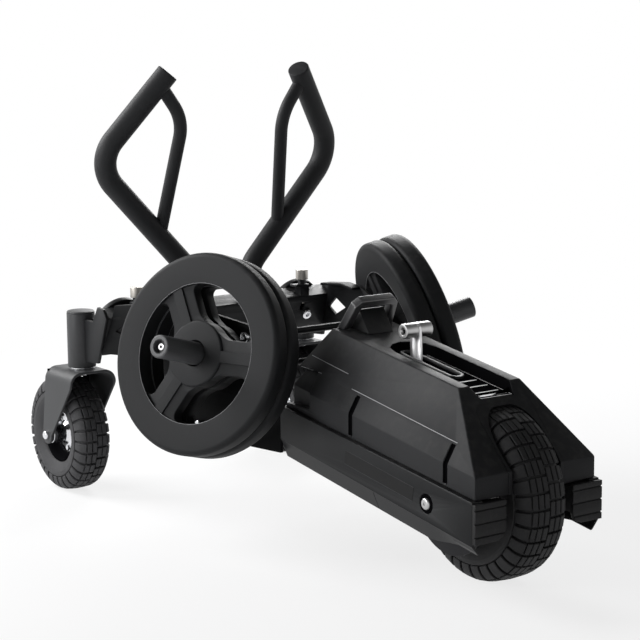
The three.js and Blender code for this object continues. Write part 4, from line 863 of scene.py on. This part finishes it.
class PUSHSLED_OT_casters(bpy.types.Operator):
    """Tyres, rims, axles, forks, stems and head tubes of the two casters"""

    bl_idname = "pushsled.casters"
    bl_label = "Casters"

    def execute(self, context):
        size = context.scene.push_sled_sizes
        hub, hub_half, bore, split = 0.021, 0.0535, 0.0084, 0.055
        bolt_circle, bolt_seat, bolt_radius, pocket = 0.038, 0.0096, 0.0066, 0.0074
        axle_radius, head_height = 0.0079, 0.0079
        for hand, _ in HANDS:
            centre = pivot(f"caster_{hand}_spin")
            wheel, swivel = f"caster_wheel_{hand}", f"swivel_{hand}"
            tyre(f"caster_tread_{hand}", centre, size.caster_radius, size.caster_bead,
                 size.caster_half, size.caster_blocks, (0.0, 0.0135, 0.0275), (0.0275, 0.066),
                 wheel, f"caster_tyre_{hand}", "caster_tyre")
            dish, barrel = rim_shapes(centre, size.caster_bead, size.caster_half, hub, hub_half,
                                      bore, split)
            bolts, hole_shades = [dish], []
            for i in range(10):
                turn = ROUND * i / 10
                x, z = bolt_circle * math.cos(turn), bolt_circle * math.sin(turn)
                for face in (-1, 1):
                    seat = turning(centre + [x, face * bolt_seat, z], (0, face, 0))
                    # Every other place gets a thin dark disc of painted shade for a hole.
                    if i % 2:
                        hole_shades.append(button(seat, pocket, 0.0010))
                    else:
                        bolts.append(hexagon_head(seat, bolt_radius, 0.0060))
            rim = (f"caster_rim_{hand}",)
            piece(f"caster_rim_dish_{hand}", bolts, "bright", rim, wheel)
            # The barrel's deep well is near-black painted shade.
            piece(f"caster_rim_barrel_{hand}", barrel, "trough", rim, wheel)
            piece(f"caster_rim_hole_shades_{hand}", hole_shades, "trough", (), wheel)
            axle = f"caster_axle_{hand}"
            low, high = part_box(axle)
            shapes = [cross_rod(axle, centre[0], centre[2], axle_radius)]
            for face, edge in ((-1, low.y), (1, high.y)):
                seat = turning((centre[0], edge - face * head_height, centre[2]), (0, face, 0))
                shapes.append(turned(head_profile(0.0104, 0.0078, 0.0042), seat, 40))
            piece(f"caster_axle_bolt_{hand}", shapes, "bright", (axle,), swivel)
            post = pivot(f"caster_{hand}_swivel") * [1, 1, 0]
            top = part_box(f"caster_fork_{hand}")[1].z
            piece(f"fork_bent_plate_{hand}", fork_shape(post, centre, top), "fork",
                  (f"caster_fork_{hand}",), swivel, 40.0)
            # The near-black strip behind each fork's crown is painted shade.
            piece(f"fork_painted_shade_strip_{hand}", fork_shade_strip(post, centre, top), "trough",
                  (), swivel)
            around = turning(post, (0, 0, 1))
            low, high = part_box(f"caster_stem_{hand}")
            top, nut_top = high.z, low.z + 0.0100
            nut = turning(post + [0, 0, nut_top], (0, 0, -1))
            piece(f"caster_stem_nut_{hand}", hexagon_head(nut, 0.0190, 0.0098), "bright",
                  (), swivel)
            stem = [[0, nut_top + 0.0002], [0.0159, nut_top + 0.0002],
                    [0.0159, top - 0.0050], [0.0332, top - 0.0048], [0.0328, top - 0.0020],
                    [0.0312, top - 0.0005], [0.0295, top], [0, top]]
            piece(f"caster_stem_cap_{hand}", turned(stem, around, 64), "fork",
                  (f"caster_stem_{hand}",), swivel)
            low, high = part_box(f"head_tube_{hand}")
            shell = sleeve(around, 0.0285, 0.0334, low.z, high.z, 0.0009, 80)
            piece(f"head_tube_shell_{hand}", shell, "fork", (f"head_tube_{hand}",))
            low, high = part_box(f"head_bush_{hand}")
            bush = [[0.0166, low.z], [0.0288, low.z], [0.0290, low.z + 0.0008],
                    [0.0290, low.z + 0.0042], [0.0286, low.z + 0.0048],
                    [0.0278, low.z + 0.0048], [0.0278, high.z], [0.0166, high.z]]
            piece(f"head_bush_washer_{hand}", turned(bush, around, 64, True), "bright",
                  (f"head_bush_{hand}",))
        return {"FINISHED"}


# Weight plates and horns


def horn_frame(side):
    """The horn's turning frame at its tip: ahead, up and outwards."""
    tip = np.array(bpy.context.scene.push_sled_sizes.horn_tip, float) * [1, side, 1]
    out = np.array(joints[f"outer_plate_{'right' if side < 0 else 'left'}_slide"]["axis"], float)
    ahead = unit([out[1] * side, -out[0] * side, 0.0])
    return tip, ahead, unit(np.cross(out, ahead)), unit(out)


def plate_shape(around):
    """A weight plate: a ring of rounded section, a hub, a web and three ribbed spokes. At a radius
    r a spoke's point lies w(r) to each side of its middle, and w grows by a quarter circle where
    the spoke meets the web and the ring."""
    size = bpy.context.scene.push_sled_sizes
    half, web, edge = size.plate_thickness / 2, size.plate_web / 2, size.plate_edge
    ring = smooth_line([[size.plate_ring, -half + 0.001], [size.plate_radius, -half],
                        [size.plate_radius, half], [size.plate_ring, half - 0.001]],
                       [0.0026, edge, edge, 0.0026], 8, closed=True)
    bore = size.horn_radius + 0.0034
    hub = smooth_line([[bore, -half], [size.plate_hub, -half + 0.003],
                       [size.plate_hub, half - 0.003], [bore, half]],
                      [0.002, 0.005, 0.005, 0.002], 6, closed=True)
    collar = size.plate_hub - 0.001
    shapes = [turned(ring, around, 160, True), turned(hub, around, 96, True)]
    corner = 0.021
    start, stop = collar - 0.002, size.plate_ring + 0.004
    radius = np.concatenate([np.linspace(start, collar + corner, 10), [0.12],
                             np.linspace(stop - 0.004 - corner, stop, 12)])
    near = np.clip(collar + corner - radius, 0, corner)
    far = np.clip(radius - (size.plate_ring - corner), 0, corner)
    width = (size.spoke_half + 2 * corner - np.sqrt(corner**2 - near**2)
             - np.sqrt(corner**2 - far**2))
    rib, rise, bend = 0.013, 0.0046, 0.003
    face = np.array([[1, 0, 0], [1, 0, web - bend], [1, -bend * 0.3, web - bend * 0.3],
                     [1, -bend, web], [0, rib + 0.0012, web], [0, rib, web + 0.0004],
                     [0, rib - 0.0008, web + rise], [0, 0, web + rise + 0.0006]])
    section = mirrored(mirrored(face, [-1, -1, 1]), [1, 1, -1])[:-1]
    across = section[:, 0] * width[:, None] + section[:, 1]
    ahead = np.sqrt(np.maximum(radius[:, None] ** 2 - across**2, 1e-9))
    along = np.broadcast_to(section[:, 2], across.shape)
    quads = grid_faces(len(radius), len(section), False, True)
    count = len(section)
    last = count * (len(radius) - 1)
    pairs = np.arange(1, count // 2)
    end = np.stack([pairs - 1, pairs, count - 1 - pairs, (count - pairs) % count], 1)
    caps = np.concatenate([end, end[:, ::-1] + last])
    for i in range(3):
        turn = ROUND * i / 3
        x = ahead * math.cos(turn) - across * math.sin(turn)
        y = ahead * math.sin(turn) + across * math.cos(turn)
        shapes.append((placed(around, x, y, along).reshape(-1, 3), np.concatenate([quads, caps])))
    return shapes


class PUSHSLED_OT_plates(bpy.types.Operator):
    """Four weight plates, two on each horn"""

    bl_idname = "pushsled.plates"
    bl_label = "Weight plates"

    def execute(self, context):
        size = context.scene.push_sled_sizes
        line_radius, gap = 0.0006, 0.0003
        bead = circle(line_radius, 6)
        rim = size.plate_ring + line_radius + bead[:, 0]
        for hand, side in HANDS:
            tip, ahead, up, out = horn_frame(side)
            for step, level in enumerate(("outer", "inner")):
                depth = size.horn_free + size.plate_thickness * (0.5 + step) + gap * step
                around = (tip - out * depth, ahead, up, out)
                body = f"{level}_plate_{hand}"
                piece(f"plate_casting_{level}_{hand}", plate_shape(around), "plate",
                      (f"plate_{level}_{hand}",), body, 28.0)
                # Thin light rings near the inner edge of both faces of the plate's ring are a
                # painted highlight.
                lines = []
                for face in (-1, 1):
                    height = face * (size.plate_thickness / 2 - 0.0016) + bead[:, 1]
                    lines.append(turned(np.stack([rim, height], 1), around, 120, True))
                piece(f"plate_worn_edge_{level}_{hand}", lines, "edge", (), body)
        return {"FINISHED"}


class PUSHSLED_OT_horns(bpy.types.Operator):
    """The two horns that carry the plates, with their collars and end screws"""

    bl_idname = "pushsled.horns"
    bl_label = "Plate horns"

    def execute(self, context):
        size = context.scene.push_sled_sizes
        for hand, side in HANDS:
            tip, ahead, up, out = horn_frame(side)
            around = (tip, ahead, up, out)
            stack = size.horn_free + 2 * (size.plate_thickness + 0.0003)
            radius, recess, sunk = size.horn_radius, 0.0143, 0.013
            collar, foot = 0.0365, stack + 0.036
            outline = [[0, -sunk], [recess, -sunk], [recess, 0.0], [radius, 0.0],
                       [radius, -stack], [collar, -stack], [collar, -foot], [0, -foot]]
            line = smooth_line(outline, [0, 0.0012, 0.0018, 0.0032, 0.002, 0.003, 0.001, 0], 6)
            piece(f"horn_tube_{hand}", turned(line, around, 80), "horn")
            seat = (tip - out * sunk, ahead, up, out)
            screw = turned(head_profile(0.0088, 0.0062, 0.0022, 0.0036, 0.004), seat, 40)
            piece(f"horn_screw_{hand}", screw, "satin")
            slots = frame["nodes"][f"horn_{hand}"].data.materials
            slots.clear()
            slots.append(finish("frame"))
        return {"FINISHED"}


# Push handles


class PUSHSLED_OT_handles(bpy.types.Operator):
    """The two bent push handles and their braces"""

    bl_idname = "pushsled.handles"
    bl_label = "Push handles"

    def execute(self, context):
        size = context.scene.push_sled_sizes
        beam = np.array(size.beam, float)
        for hand, side in HANDS:
            at = beam + np.array([[0.025, side * 0.082, 0.0], [0.025, side * 0.082, 0.122],
                                  [0.019, side * 0.335, 0.395], [0.101, side * 0.182, 0.602],
                                  [0.092, side * 0.139, 0.491]])
            base, low, elbow, top, corner = at
            foot = base + [0, 0, 0.0438]
            bend = size.handle_bend
            path = smooth_line([foot, low, elbow, top], [0, bend, bend, 0], 24)
            piece(f"handle_tube_{hand}", tube(path, size.handle_radius, (1, 0, 0), 0.0024, 48),
                  "handle", (f"push_handle_{hand}",))
            upper = top + (elbow - top) * 0.12
            lower = elbow + (low - elbow) * 0.66
            run = smooth_line([upper, corner, lower], [0, size.brace_bend, 0], 20)
            piece(f"brace_tube_{hand}", tube(run, size.brace_radius, (1, 0, 0), 0.001, 36),
                  "handle", (f"handle_brace_{hand}",))
        return {"FINISHED"}


# Hood and its trim


def skin_points(node, line, side, count=14):
    """Points and normals where rays along Y from one side meet a node's surface, at even steps
    along a line of (x, z) points."""
    mesh = frame["nodes"][node].data
    corners = [v.co.copy() for v in mesh.vertices]
    tree = BVHTree.FromPolygons(corners, [tuple(p.vertices) for p in mesh.polygons])
    line = np.asarray(line, float)
    run = run_of(line)
    at = between(np.linspace(0, 1, count) * run[-1], run, line)
    hits = [tree.ray_cast(Vector((x, side, z)), Vector((0, -side, 0))) for x, z in at]
    if any(hit[0] is None for hit in hits):
        raise RuntimeError(f"a line of trim misses {node}")
    points = np.array([hit[0] for hit in hits], float)
    normals = np.array([hit[1] for hit in hits], float)
    normals *= np.sign(normals[:, 1] * side)[:, None]
    return points, normals


def arch_lip(centre):
    """The rounded lip of the wheel arch, flat on the hood's front slope and nose. On the slope a
    turned section of radius r(y) = b + sqrt(c^2 - (|y| - a)^2) opens the line
    s = sqrt(r(y)^2 - d^2) up the slope from the foot of the axle's perpendicular, d long. The nose
    carries it straight on."""
    crown, nose = np.array([0.5699, 0.0, 0.4040]), np.array([0.7119, 0.0, 0.2580])
    down = unit(nose - crown)
    out = np.array([-down[2], 0.0, down[0]])
    reach = float(np.dot(crown - centre, out))
    foot = centre + out * reach
    crease = float(np.dot(foot - nose, down))
    flat, hollow, corner, flank, shoulder = 0.014, 0.129, 0.058, 0.0732, 0.0200

    def half(s):
        """Half width of the opening at s: a + c sin(t), where b + c cos(t) = sqrt(s^2 + d^2)."""
        lean = np.arccos((np.sqrt(s**2 + reach**2) - hollow) / corner)
        return flat + corner * np.sin(lean)

    s = np.linspace(crease, 0.060, 16)
    side = np.stack([half(s), s], 1)
    side = np.concatenate([[[side[0, 0], crease - 0.0450], [side[0, 0], crease - 0.001]], side])
    y = np.linspace(side[-1, 0], 0, 22)[1:]
    radius = hollow + np.sqrt(corner**2 - np.maximum(y - flat, 0) ** 2)
    inner = np.concatenate([side, np.stack([y, np.sqrt(radius**2 - reach**2)], 1)])
    turn = np.linspace(0, QUARTER, 12)
    rim = np.array([0.0532, 0.0]) + shoulder * np.stack([np.cos(turn), np.sin(turn)], 1)
    rim[:, 1] = np.sqrt((0.1732 + rim[:, 1]) ** 2 - reach**2)
    rim = np.concatenate([[[flank, 0.060]], rim, [[0.0, rim[-1, 1]]]])
    run = run_of(rim)
    top = between(np.linspace(0, run[-1], 22)[1:], run, rim)
    outer = np.concatenate([np.stack([np.full(len(side), flank), side[:, 1]], 1), top])
    rows = []
    for line, height in ((outer, 0.00035), (inner, 0.00035), (inner, -0.0060), (outer, -0.0030)):
        line = mirrored(line, [-1, 1])
        below = np.minimum(line[:, 1:] - crease, 0)
        level = foot - down * np.maximum(line[:, 1:], crease) + [0, 0, 1] * below
        normal = np.where(below < 0, [1.0, 0.0, 0.0], out)
        rows.append(level + line[:, :1] * [0.0, 1.0, 0.0] + normal * height)
    return strip(np.stack(rows, 1))


class PUSHSLED_OT_hood(bpy.types.Operator):
    """The moulded hood, its slot ring, printed lines and screws"""

    bl_idname = "pushsled.hood"
    bl_label = "Hood"

    def execute(self, context):
        size = context.scene.push_sled_sizes
        shell = softened("hood", "hood_shell", "hood", size.hood_edge, 3)
        # Painted shade: the hood's faces deeper than 1.2 mm under its hull, ahead of x 0.20 m, take
        # the near-black recess finish.
        darkened(shell, "hood", "trough", 0.0012, 0.20)
        piece("hood_arch_lip", arch_lip(pivot("front_wheel_spin")), "hood")
        softened("slot_ring", "slot_ring_rim", "fork", 0.0012)
        screw = head_profile(0.0026, 0.0016, 0.0007, 0.0010, 0.0008)
        upper = ([(0.121, 0.410), (0.253, 0.389)], 0.0012)
        lower = ([(0.283, 0.363), (0.629, 0.310)], 0.0013)
        # The tail line is a painted highlight along the lip of the tail recess; the upper and lower
        # lines are printed stripes.
        tail = ([(0.1020, 0.3850), (0.174, 0.3796)], 0.0010)
        lines, screws = [], []
        for _, side in HANDS:
            for line, width in (upper, lower, tail):
                lines.append(slab(*skin_points("hood", line, side), width, 0.0003))
            for x, z in ((0.3166, 0.2786), (0.6276, 0.2327)):
                screws.append(turned(screw, turning((x, side * 0.1532, z), (0, side, 0)), 24))
        piece("hood_lines", lines, "stripe")
        floor = np.array([0.494, 0.0, 0.39515])
        along, above = unit([1.0, 0.0, -0.1508]), unit([0.1508, 0.0, 1.0])
        edge, front = 0.0395, 0.0985
        bars = ((0.0, 0.030, 0.0042), (0.0340, 0.030, 0.0042), (0.0680, 0.030, 0.0034),
                (0.0870, 0.035, 0.0075))
        strokes = [(at, at, -reach, reach, 6, wide) for at, reach, wide in bars]
        strokes += [(-0.175, front, side * edge, side * edge, 20, 0.0011) for _, side in HANDS]
        strokes.append((front, front, -edge, edge, 6, 0.0012))
        marks = []
        for start, stop, right, left, count, wide in strokes:
            line = floor + along * np.linspace(start, stop, count)[:, None]
            line = line + np.linspace(right, left, count)[:, None] * [0.0, 1.0, 0.0]
            marks.append(slab(line, np.broadcast_to(above, line.shape), wide, 0.0004))
        piece("trough_marks", marks, "mark")
        piece("hood_screws", screws, "bright")
        return {"FINISHED"}


class PUSHSLED_OT_lift_handle(bpy.types.Operator):
    """The lift handle on the hood's tail and the guard before the fingers"""

    bl_idname = "pushsled.lift_handle"
    bl_label = "Lift handle"

    def execute(self, context):
        softened("lift_handle", "lift_handle_bar", "cast", 0.0030, 3)
        softened("hand_guard", "hand_guard_shell", "frame", 0.002)
        return {"FINISHED"}


class PUSHSLED_OT_lever(bpy.types.Operator):
    """The brake lever, its grip, shaft and magnets"""

    bl_idname = "pushsled.lever"
    bl_label = "Brake lever"

    def execute(self, context):
        size = context.scene.push_sled_sizes
        softened("lever", "lever_blade", "blade", 0.0008)
        softened("magnet_yoke", "magnet_jaws", "satin", 0.001)
        low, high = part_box("lever_grip")
        centre = np.array((low + high) / 2)
        half, radius, groove = (high.y - low.y) / 2, size.grip_radius, 0.0033
        shapes, socket_shades = [], []
        for _, side in HANDS:
            around = turning(centre + [0, side * groove, 0], (0, side, 0))
            long = half - groove
            outline = [[0, 0], [radius, 0], [radius, long], [radius * 0.52, long],
                       [radius * 0.40, long - 0.007], [0, long - 0.007]]
            line = smooth_line(outline, [0, 0.0012, 0.0022, 0.001, 0, 0], 5)
            shapes.append(turned(line, around, 56))
            # A thin dark six-sided disc in each end of the grip is painted shade in its socket.
            seat = turning(centre + [0, side * (half - 0.0070), 0], (0, side, 0))
            socket_shades.append(button(seat, 0.0066, 0.0006, 6))
        shapes.append(button(turning(centre - [0, 0.004, 0], (0, 1, 0)), 0.0059, 0.008))
        piece("lever_grip_barrel", shapes, "satin", ("lever_grip",), "brake_lever")
        piece("lever_grip_sockets", socket_shades, "trough", (), "brake_lever")
        low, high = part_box("lever_shaft")
        middle = (low + high) / 2
        piece("lever_shaft_rod", cross_rod("lever_shaft", middle.x, middle.z, 0.0089, inset=0.0),
              "satin", ("lever_shaft",))
        return {"FINISHED"}


# Lower body and chassis


class PUSHSLED_OT_body(bpy.types.Operator):
    """Side plates, cross plate, belly pan, bumpers and bare label plates"""

    bl_idname = "pushsled.body"
    bl_label = "Lower body"

    def execute(self, context):
        size = context.scene.push_sled_sizes
        labels, borders, bevels = [], [], []
        section = np.array(
            [[0.1668, 0.0006], [0.1500, -0.0400], [0.1486, -0.0394], [0.1654, 0.0002]])
        rear_x, rear_z, fall = 0.0669, 0.2218, 0.098 / 0.647
        for hand, side in HANDS:
            plate = f"side_plate_{hand}"
            softened(plate, f"side_panel_{hand}", "frame", size.edge)
            softened(f"bumper_{hand}", f"bumper_pad_{hand}", "bumper", 0.0009)
            skin = skin_points(plate, [(0.3045, 0.2260), (0.5320, 0.1922)], side)
            labels.append(slab(*skin, 0.0285, 0.0004))
            borders.append(slab(*skin, 0.0300, 0.0002))
            for near, far in ((0.0690, 0.3985), (0.4000, 0.7110)):
                x = np.linspace(near, far, 12)[:, None]
                tall = 1.0 - 0.5 * np.clip((x - 0.575) / 0.075, 0, 1)
                z = rear_z - (x - rear_x) * fall + section[:, 1] * tall
                bevels.append(strip(np.stack(np.broadcast_arrays(x, section[:, 0] * side, z), -1)))
        softened("cross_plate", "cross_wall", "frame", size.edge)
        softened("belly_pan", "belly_sheet", "frame", size.edge)
        piece("label_plates", labels, "label")
        piece("label_borders", borders, "fork")
        piece("lower_bevels", bevels, "frame")
        return {"FINISHED"}


class PUSHSLED_OT_chassis(bpy.types.Operator):
    """Rear beam, end brackets, side members, tie bars, index discs and pull pins"""

    bl_idname = "pushsled.chassis"
    bl_label = "Chassis"

    def execute(self, context):
        size = context.scene.push_sled_sizes
        softened("rear_beam", "beam_tube", "frame", 0.002, 3)
        lean = math.radians(22)
        tilt = np.array([math.cos(lean), 0, -math.sin(lean)])
        for hand, _ in HANDS:
            softened(f"end_bracket_{hand}", f"bracket_{hand}", "frame", size.edge)
            # The members take the darker coat, which is painted shade on their webs.
            member = softened(f"side_member_{hand}", f"member_{hand}", "member", size.edge)
            notched(member, [(-0.4481, 0.3560), (-0.3741, 0.3590), (-0.1431, 0.1980)])
            softened(f"pin_holder_{hand}", f"pin_post_{hand}", "frame", 0.0008)
            low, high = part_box(f"index_disc_{hand}")
            middle = np.array((low + high) / 2)
            half, gap, beam = 0.0069, 0.007 + 0.0003, 0.050 + 0.0003
            disc = sleeve(turning(middle, -tilt, (0, 1, 0)), 0.0084, 0.0657, -half, half,
                          [0.0005, 0.0016, 0.0016, 0.0005], 80)
            piece(f"index_plate_{hand}", disc, "frame", (f"index_disc_{hand}",))
            front, back, past = middle + tilt * (gap + beam), middle - tilt * gap, tilt * 0.004
            head = head_profile(0.0128, 0.0088, 0.0024, 0.0060, 0.0050)
            shapes = [tube([back - past, front + past], half, (0, 1, 0), 0.0005, 24),
                      turned(head, turning(front, tilt, (0, 1, 0)), 40),
                      hexagon_head(turning(back, -tilt, (0, 1, 0)), 0.0128, 0.0088)]
            piece(f"index_bolt_pair_{hand}", shapes, "bright",
                  (f"index_bolt_{hand}",))
            low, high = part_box(f"pull_pin_{hand}")
            x, y = (low.x + high.x) / 2, (low.y + high.y) / 2
            knob = high.z - 0.025
            outline = [[0, low.z], [0.0058, low.z], [0.0058, knob], [0.0153, knob],
                       [0.0153, high.z], [0, high.z]]
            line = smooth_line(outline, [0, 0.0015, 0, 0.001, 0.0022, 0], 6)
            piece(f"pull_knob_{hand}", turned(line, turning((x, y, 0), (0, 0, 1)), 56), "knob",
                  (f"pull_pin_{hand}",), f"pin_{hand}")
        bar_radius, head_height = 0.0079, 0.0165
        head = head_profile(0.0132, 0.0162, 0.003, 0.0042, 0.003)
        for level in ("upper", "lower", "rear"):
            node = f"tie_bar_{level}"
            low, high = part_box(node)
            middle = (low + high) / 2
            heads = []
            for _, side in HANDS:
                seat = (middle.x, side * (high.y - head_height), middle.z)
                heads.append(turned(head, turning(seat, (0, side, 0)), 40))
            bar = cross_rod(node, middle.x, middle.z, bar_radius, edge=0.0008)
            piece(f"tie_rod_{level}", bar, "frame", (node,))
            piece(f"tie_bolt_{level}", heads, "bright", (node,))
        return {"FINISHED"}


# Stage


def glow(name, size, at, target, power):
    """A large soft lamp that faces a target."""
    data = bpy.data.lights.new(name, "AREA")
    data.shape, data.size, data.size_y, data.energy = "RECTANGLE", size[0], size[1], power
    lamp = bpy.data.objects.new(name, data)
    bpy.context.scene.collection.objects.link(lamp)
    lamp.location = at
    lamp.rotation_euler = (Vector(target) - Vector(at)).to_track_quat("-Z", "Y").to_euler()
    return lamp


class PUSHSLED_OT_stage(bpy.types.Operator):
    """Pale floor, soft lamps, pale background and the camera"""

    bl_idname = "pushsled.stage"
    bl_label = "Stage"

    def execute(self, context):
        scene = context.scene
        hue = scene.push_sled_colours
        mesh = bpy.data.meshes.new("floor")
        reach = 14.0
        corners = [(-reach, -reach, 0), (reach, -reach, 0), (reach, reach, 0), (-reach, reach, 0)]
        mesh.from_pydata(corners, [], [(0, 1, 2, 3)])
        floor = bpy.data.objects.new("floor", mesh)
        scene.collection.objects.link(floor)
        board = Board(bpy.data.materials.new("pale_floor"))
        away = board.node("ShaderNodeVectorMath", {"operation": "LENGTH"}, {0: board.here()}, 1)
        share = board.seen() * (away.ramped(0.9, 2.4) * 0.22 + 0.78)
        matt = board.surface(
            Base_Color=shade(hue.backdrop, 1.0), Roughness=0.9, Specular_IOR_Level=0.1)
        white = (1.0, 1.0, 1.0, 1.0)
        plain = board.node("ShaderNodeEmission", {}, {"Color": white, "Strength": 1.0})
        mixed = board.node("ShaderNodeMixShader", {},
                           {0: share, 1: Wire(board, board.shader.outputs[0]), 2: plain})
        board.feed(board.tree.nodes["Material Output"].inputs["Surface"], mixed)
        mesh.materials.append(matt)
        world = bpy.data.worlds.new("pale_room")
        board = Board(world)
        way = board.node("ShaderNodeTexCoord", {}, {}, "Generated")
        height = board.node("ShaderNodeSeparateXYZ", {}, {"Vector": way}, 2)
        room, fill = 1.0 - height.ramped(0.28, 0.66) * 0.86, 0.10
        strength = board.seen() * (room - fill) + fill
        sky = board.tree.nodes["Background"]
        board.feed(sky.inputs["Color"], white)
        board.feed(sky.inputs["Strength"], strength)
        scene.world = world
        lamps = [
            glow("key_lamp", (1.7, 1.3), (-2.1, -1.5, 2.0), (0.25, 0, 0.3), 95.0),
            glow("side_lamp", (1.6, 1.2), (-0.7, -3.6, 1.3), (0, 0, 0.35), 60.0),
            glow("back_lamp", (1.8, 1.2), (-2.35, 2.0, 2.0), (0.1, 0, 0.4), 85.0),
        ]
        scene.view_settings.view_transform = "Standard"
        data = bpy.data.cameras.new("camera")
        focal_pixels, picture_width, sensor = 1917.2, 640, 36.0
        data.sensor_fit, data.sensor_width = "AUTO", sensor
        data.lens = focal_pixels / picture_width * sensor
        data.clip_end = 100.0
        camera = bpy.data.objects.new("camera", data)
        scene.collection.objects.link(camera)
        turn, tilt, roll = math.radians(54.31), math.radians(9.34), math.radians(-0.51)
        level = math.cos(tilt)
        back = Vector((math.sin(turn) * level, -math.cos(turn) * level, math.sin(tilt)))
        right = Vector((0, 0, 1)).cross(back).normalized()
        up = back.cross(right)
        rolled = right * math.cos(roll) + up * math.sin(roll)
        up = up * math.cos(roll) - right * math.sin(roll)
        pose = Matrix((rolled, up, back)).transposed().to_4x4()
        pose.translation = Vector((3.4449, -2.484, 1.158))
        camera.matrix_world = pose
        scene.camera = camera
        return {"FINISHED"}


OPERATORS = (
    PUSHSLED_OT_stage,
    PUSHSLED_OT_front_wheel,
    PUSHSLED_OT_casters,
    PUSHSLED_OT_plates,
    PUSHSLED_OT_horns,
    PUSHSLED_OT_handles,
    PUSHSLED_OT_hood,
    PUSHSLED_OT_lift_handle,
    PUSHSLED_OT_lever,
    PUSHSLED_OT_body,
    PUSHSLED_OT_chassis,
)


class PUSHSLED_PT_panel(bpy.types.Panel):
    """Buttons for the sled's pieces, with their sizes and colours"""

    bl_idname = "PUSHSLED_PT_panel"
    bl_label = "Push sled"
    bl_space_type = "VIEW_3D"
    bl_region_type = "UI"
    bl_category = "Push sled"

    def draw(self, context):
        column = self.layout.column(align=True)
        for operator in OPERATORS:
            column.operator(operator.bl_idname)
        for group in (context.scene.push_sled_sizes, context.scene.push_sled_colours):
            box = self.layout.box()
            for name in group.bl_rna.properties.keys():
                if name not in {"rna_type", "name"}:
                    box.prop(group, name)


CLASSES = (PushSledSizes, PushSledColours, *OPERATORS, PUSHSLED_PT_panel)


def register():
    """Makes the groups, operators and panel known, and gives the scene its sizes and colours."""
    for item in CLASSES:
        bpy.utils.register_class(item)
    bpy.types.Scene.push_sled_sizes = PointerProperty(type=PushSledSizes)
    bpy.types.Scene.push_sled_colours = PointerProperty(type=PushSledColours)


def unregister():
    """Takes back what register has made known."""
    del bpy.types.Scene.push_sled_colours
    del bpy.types.Scene.push_sled_sizes
    for item in reversed(CLASSES):
        bpy.utils.unregister_class(item)


def main():
    """Builds the whole sled and its stage."""
    register()
    for operator in OPERATORS:
        family, action = operator.bl_idname.split(".")
        getattr(getattr(bpy.ops, family), action)()
    bpy.context.view_layer.update()


if __name__ == "__main__":
    main()
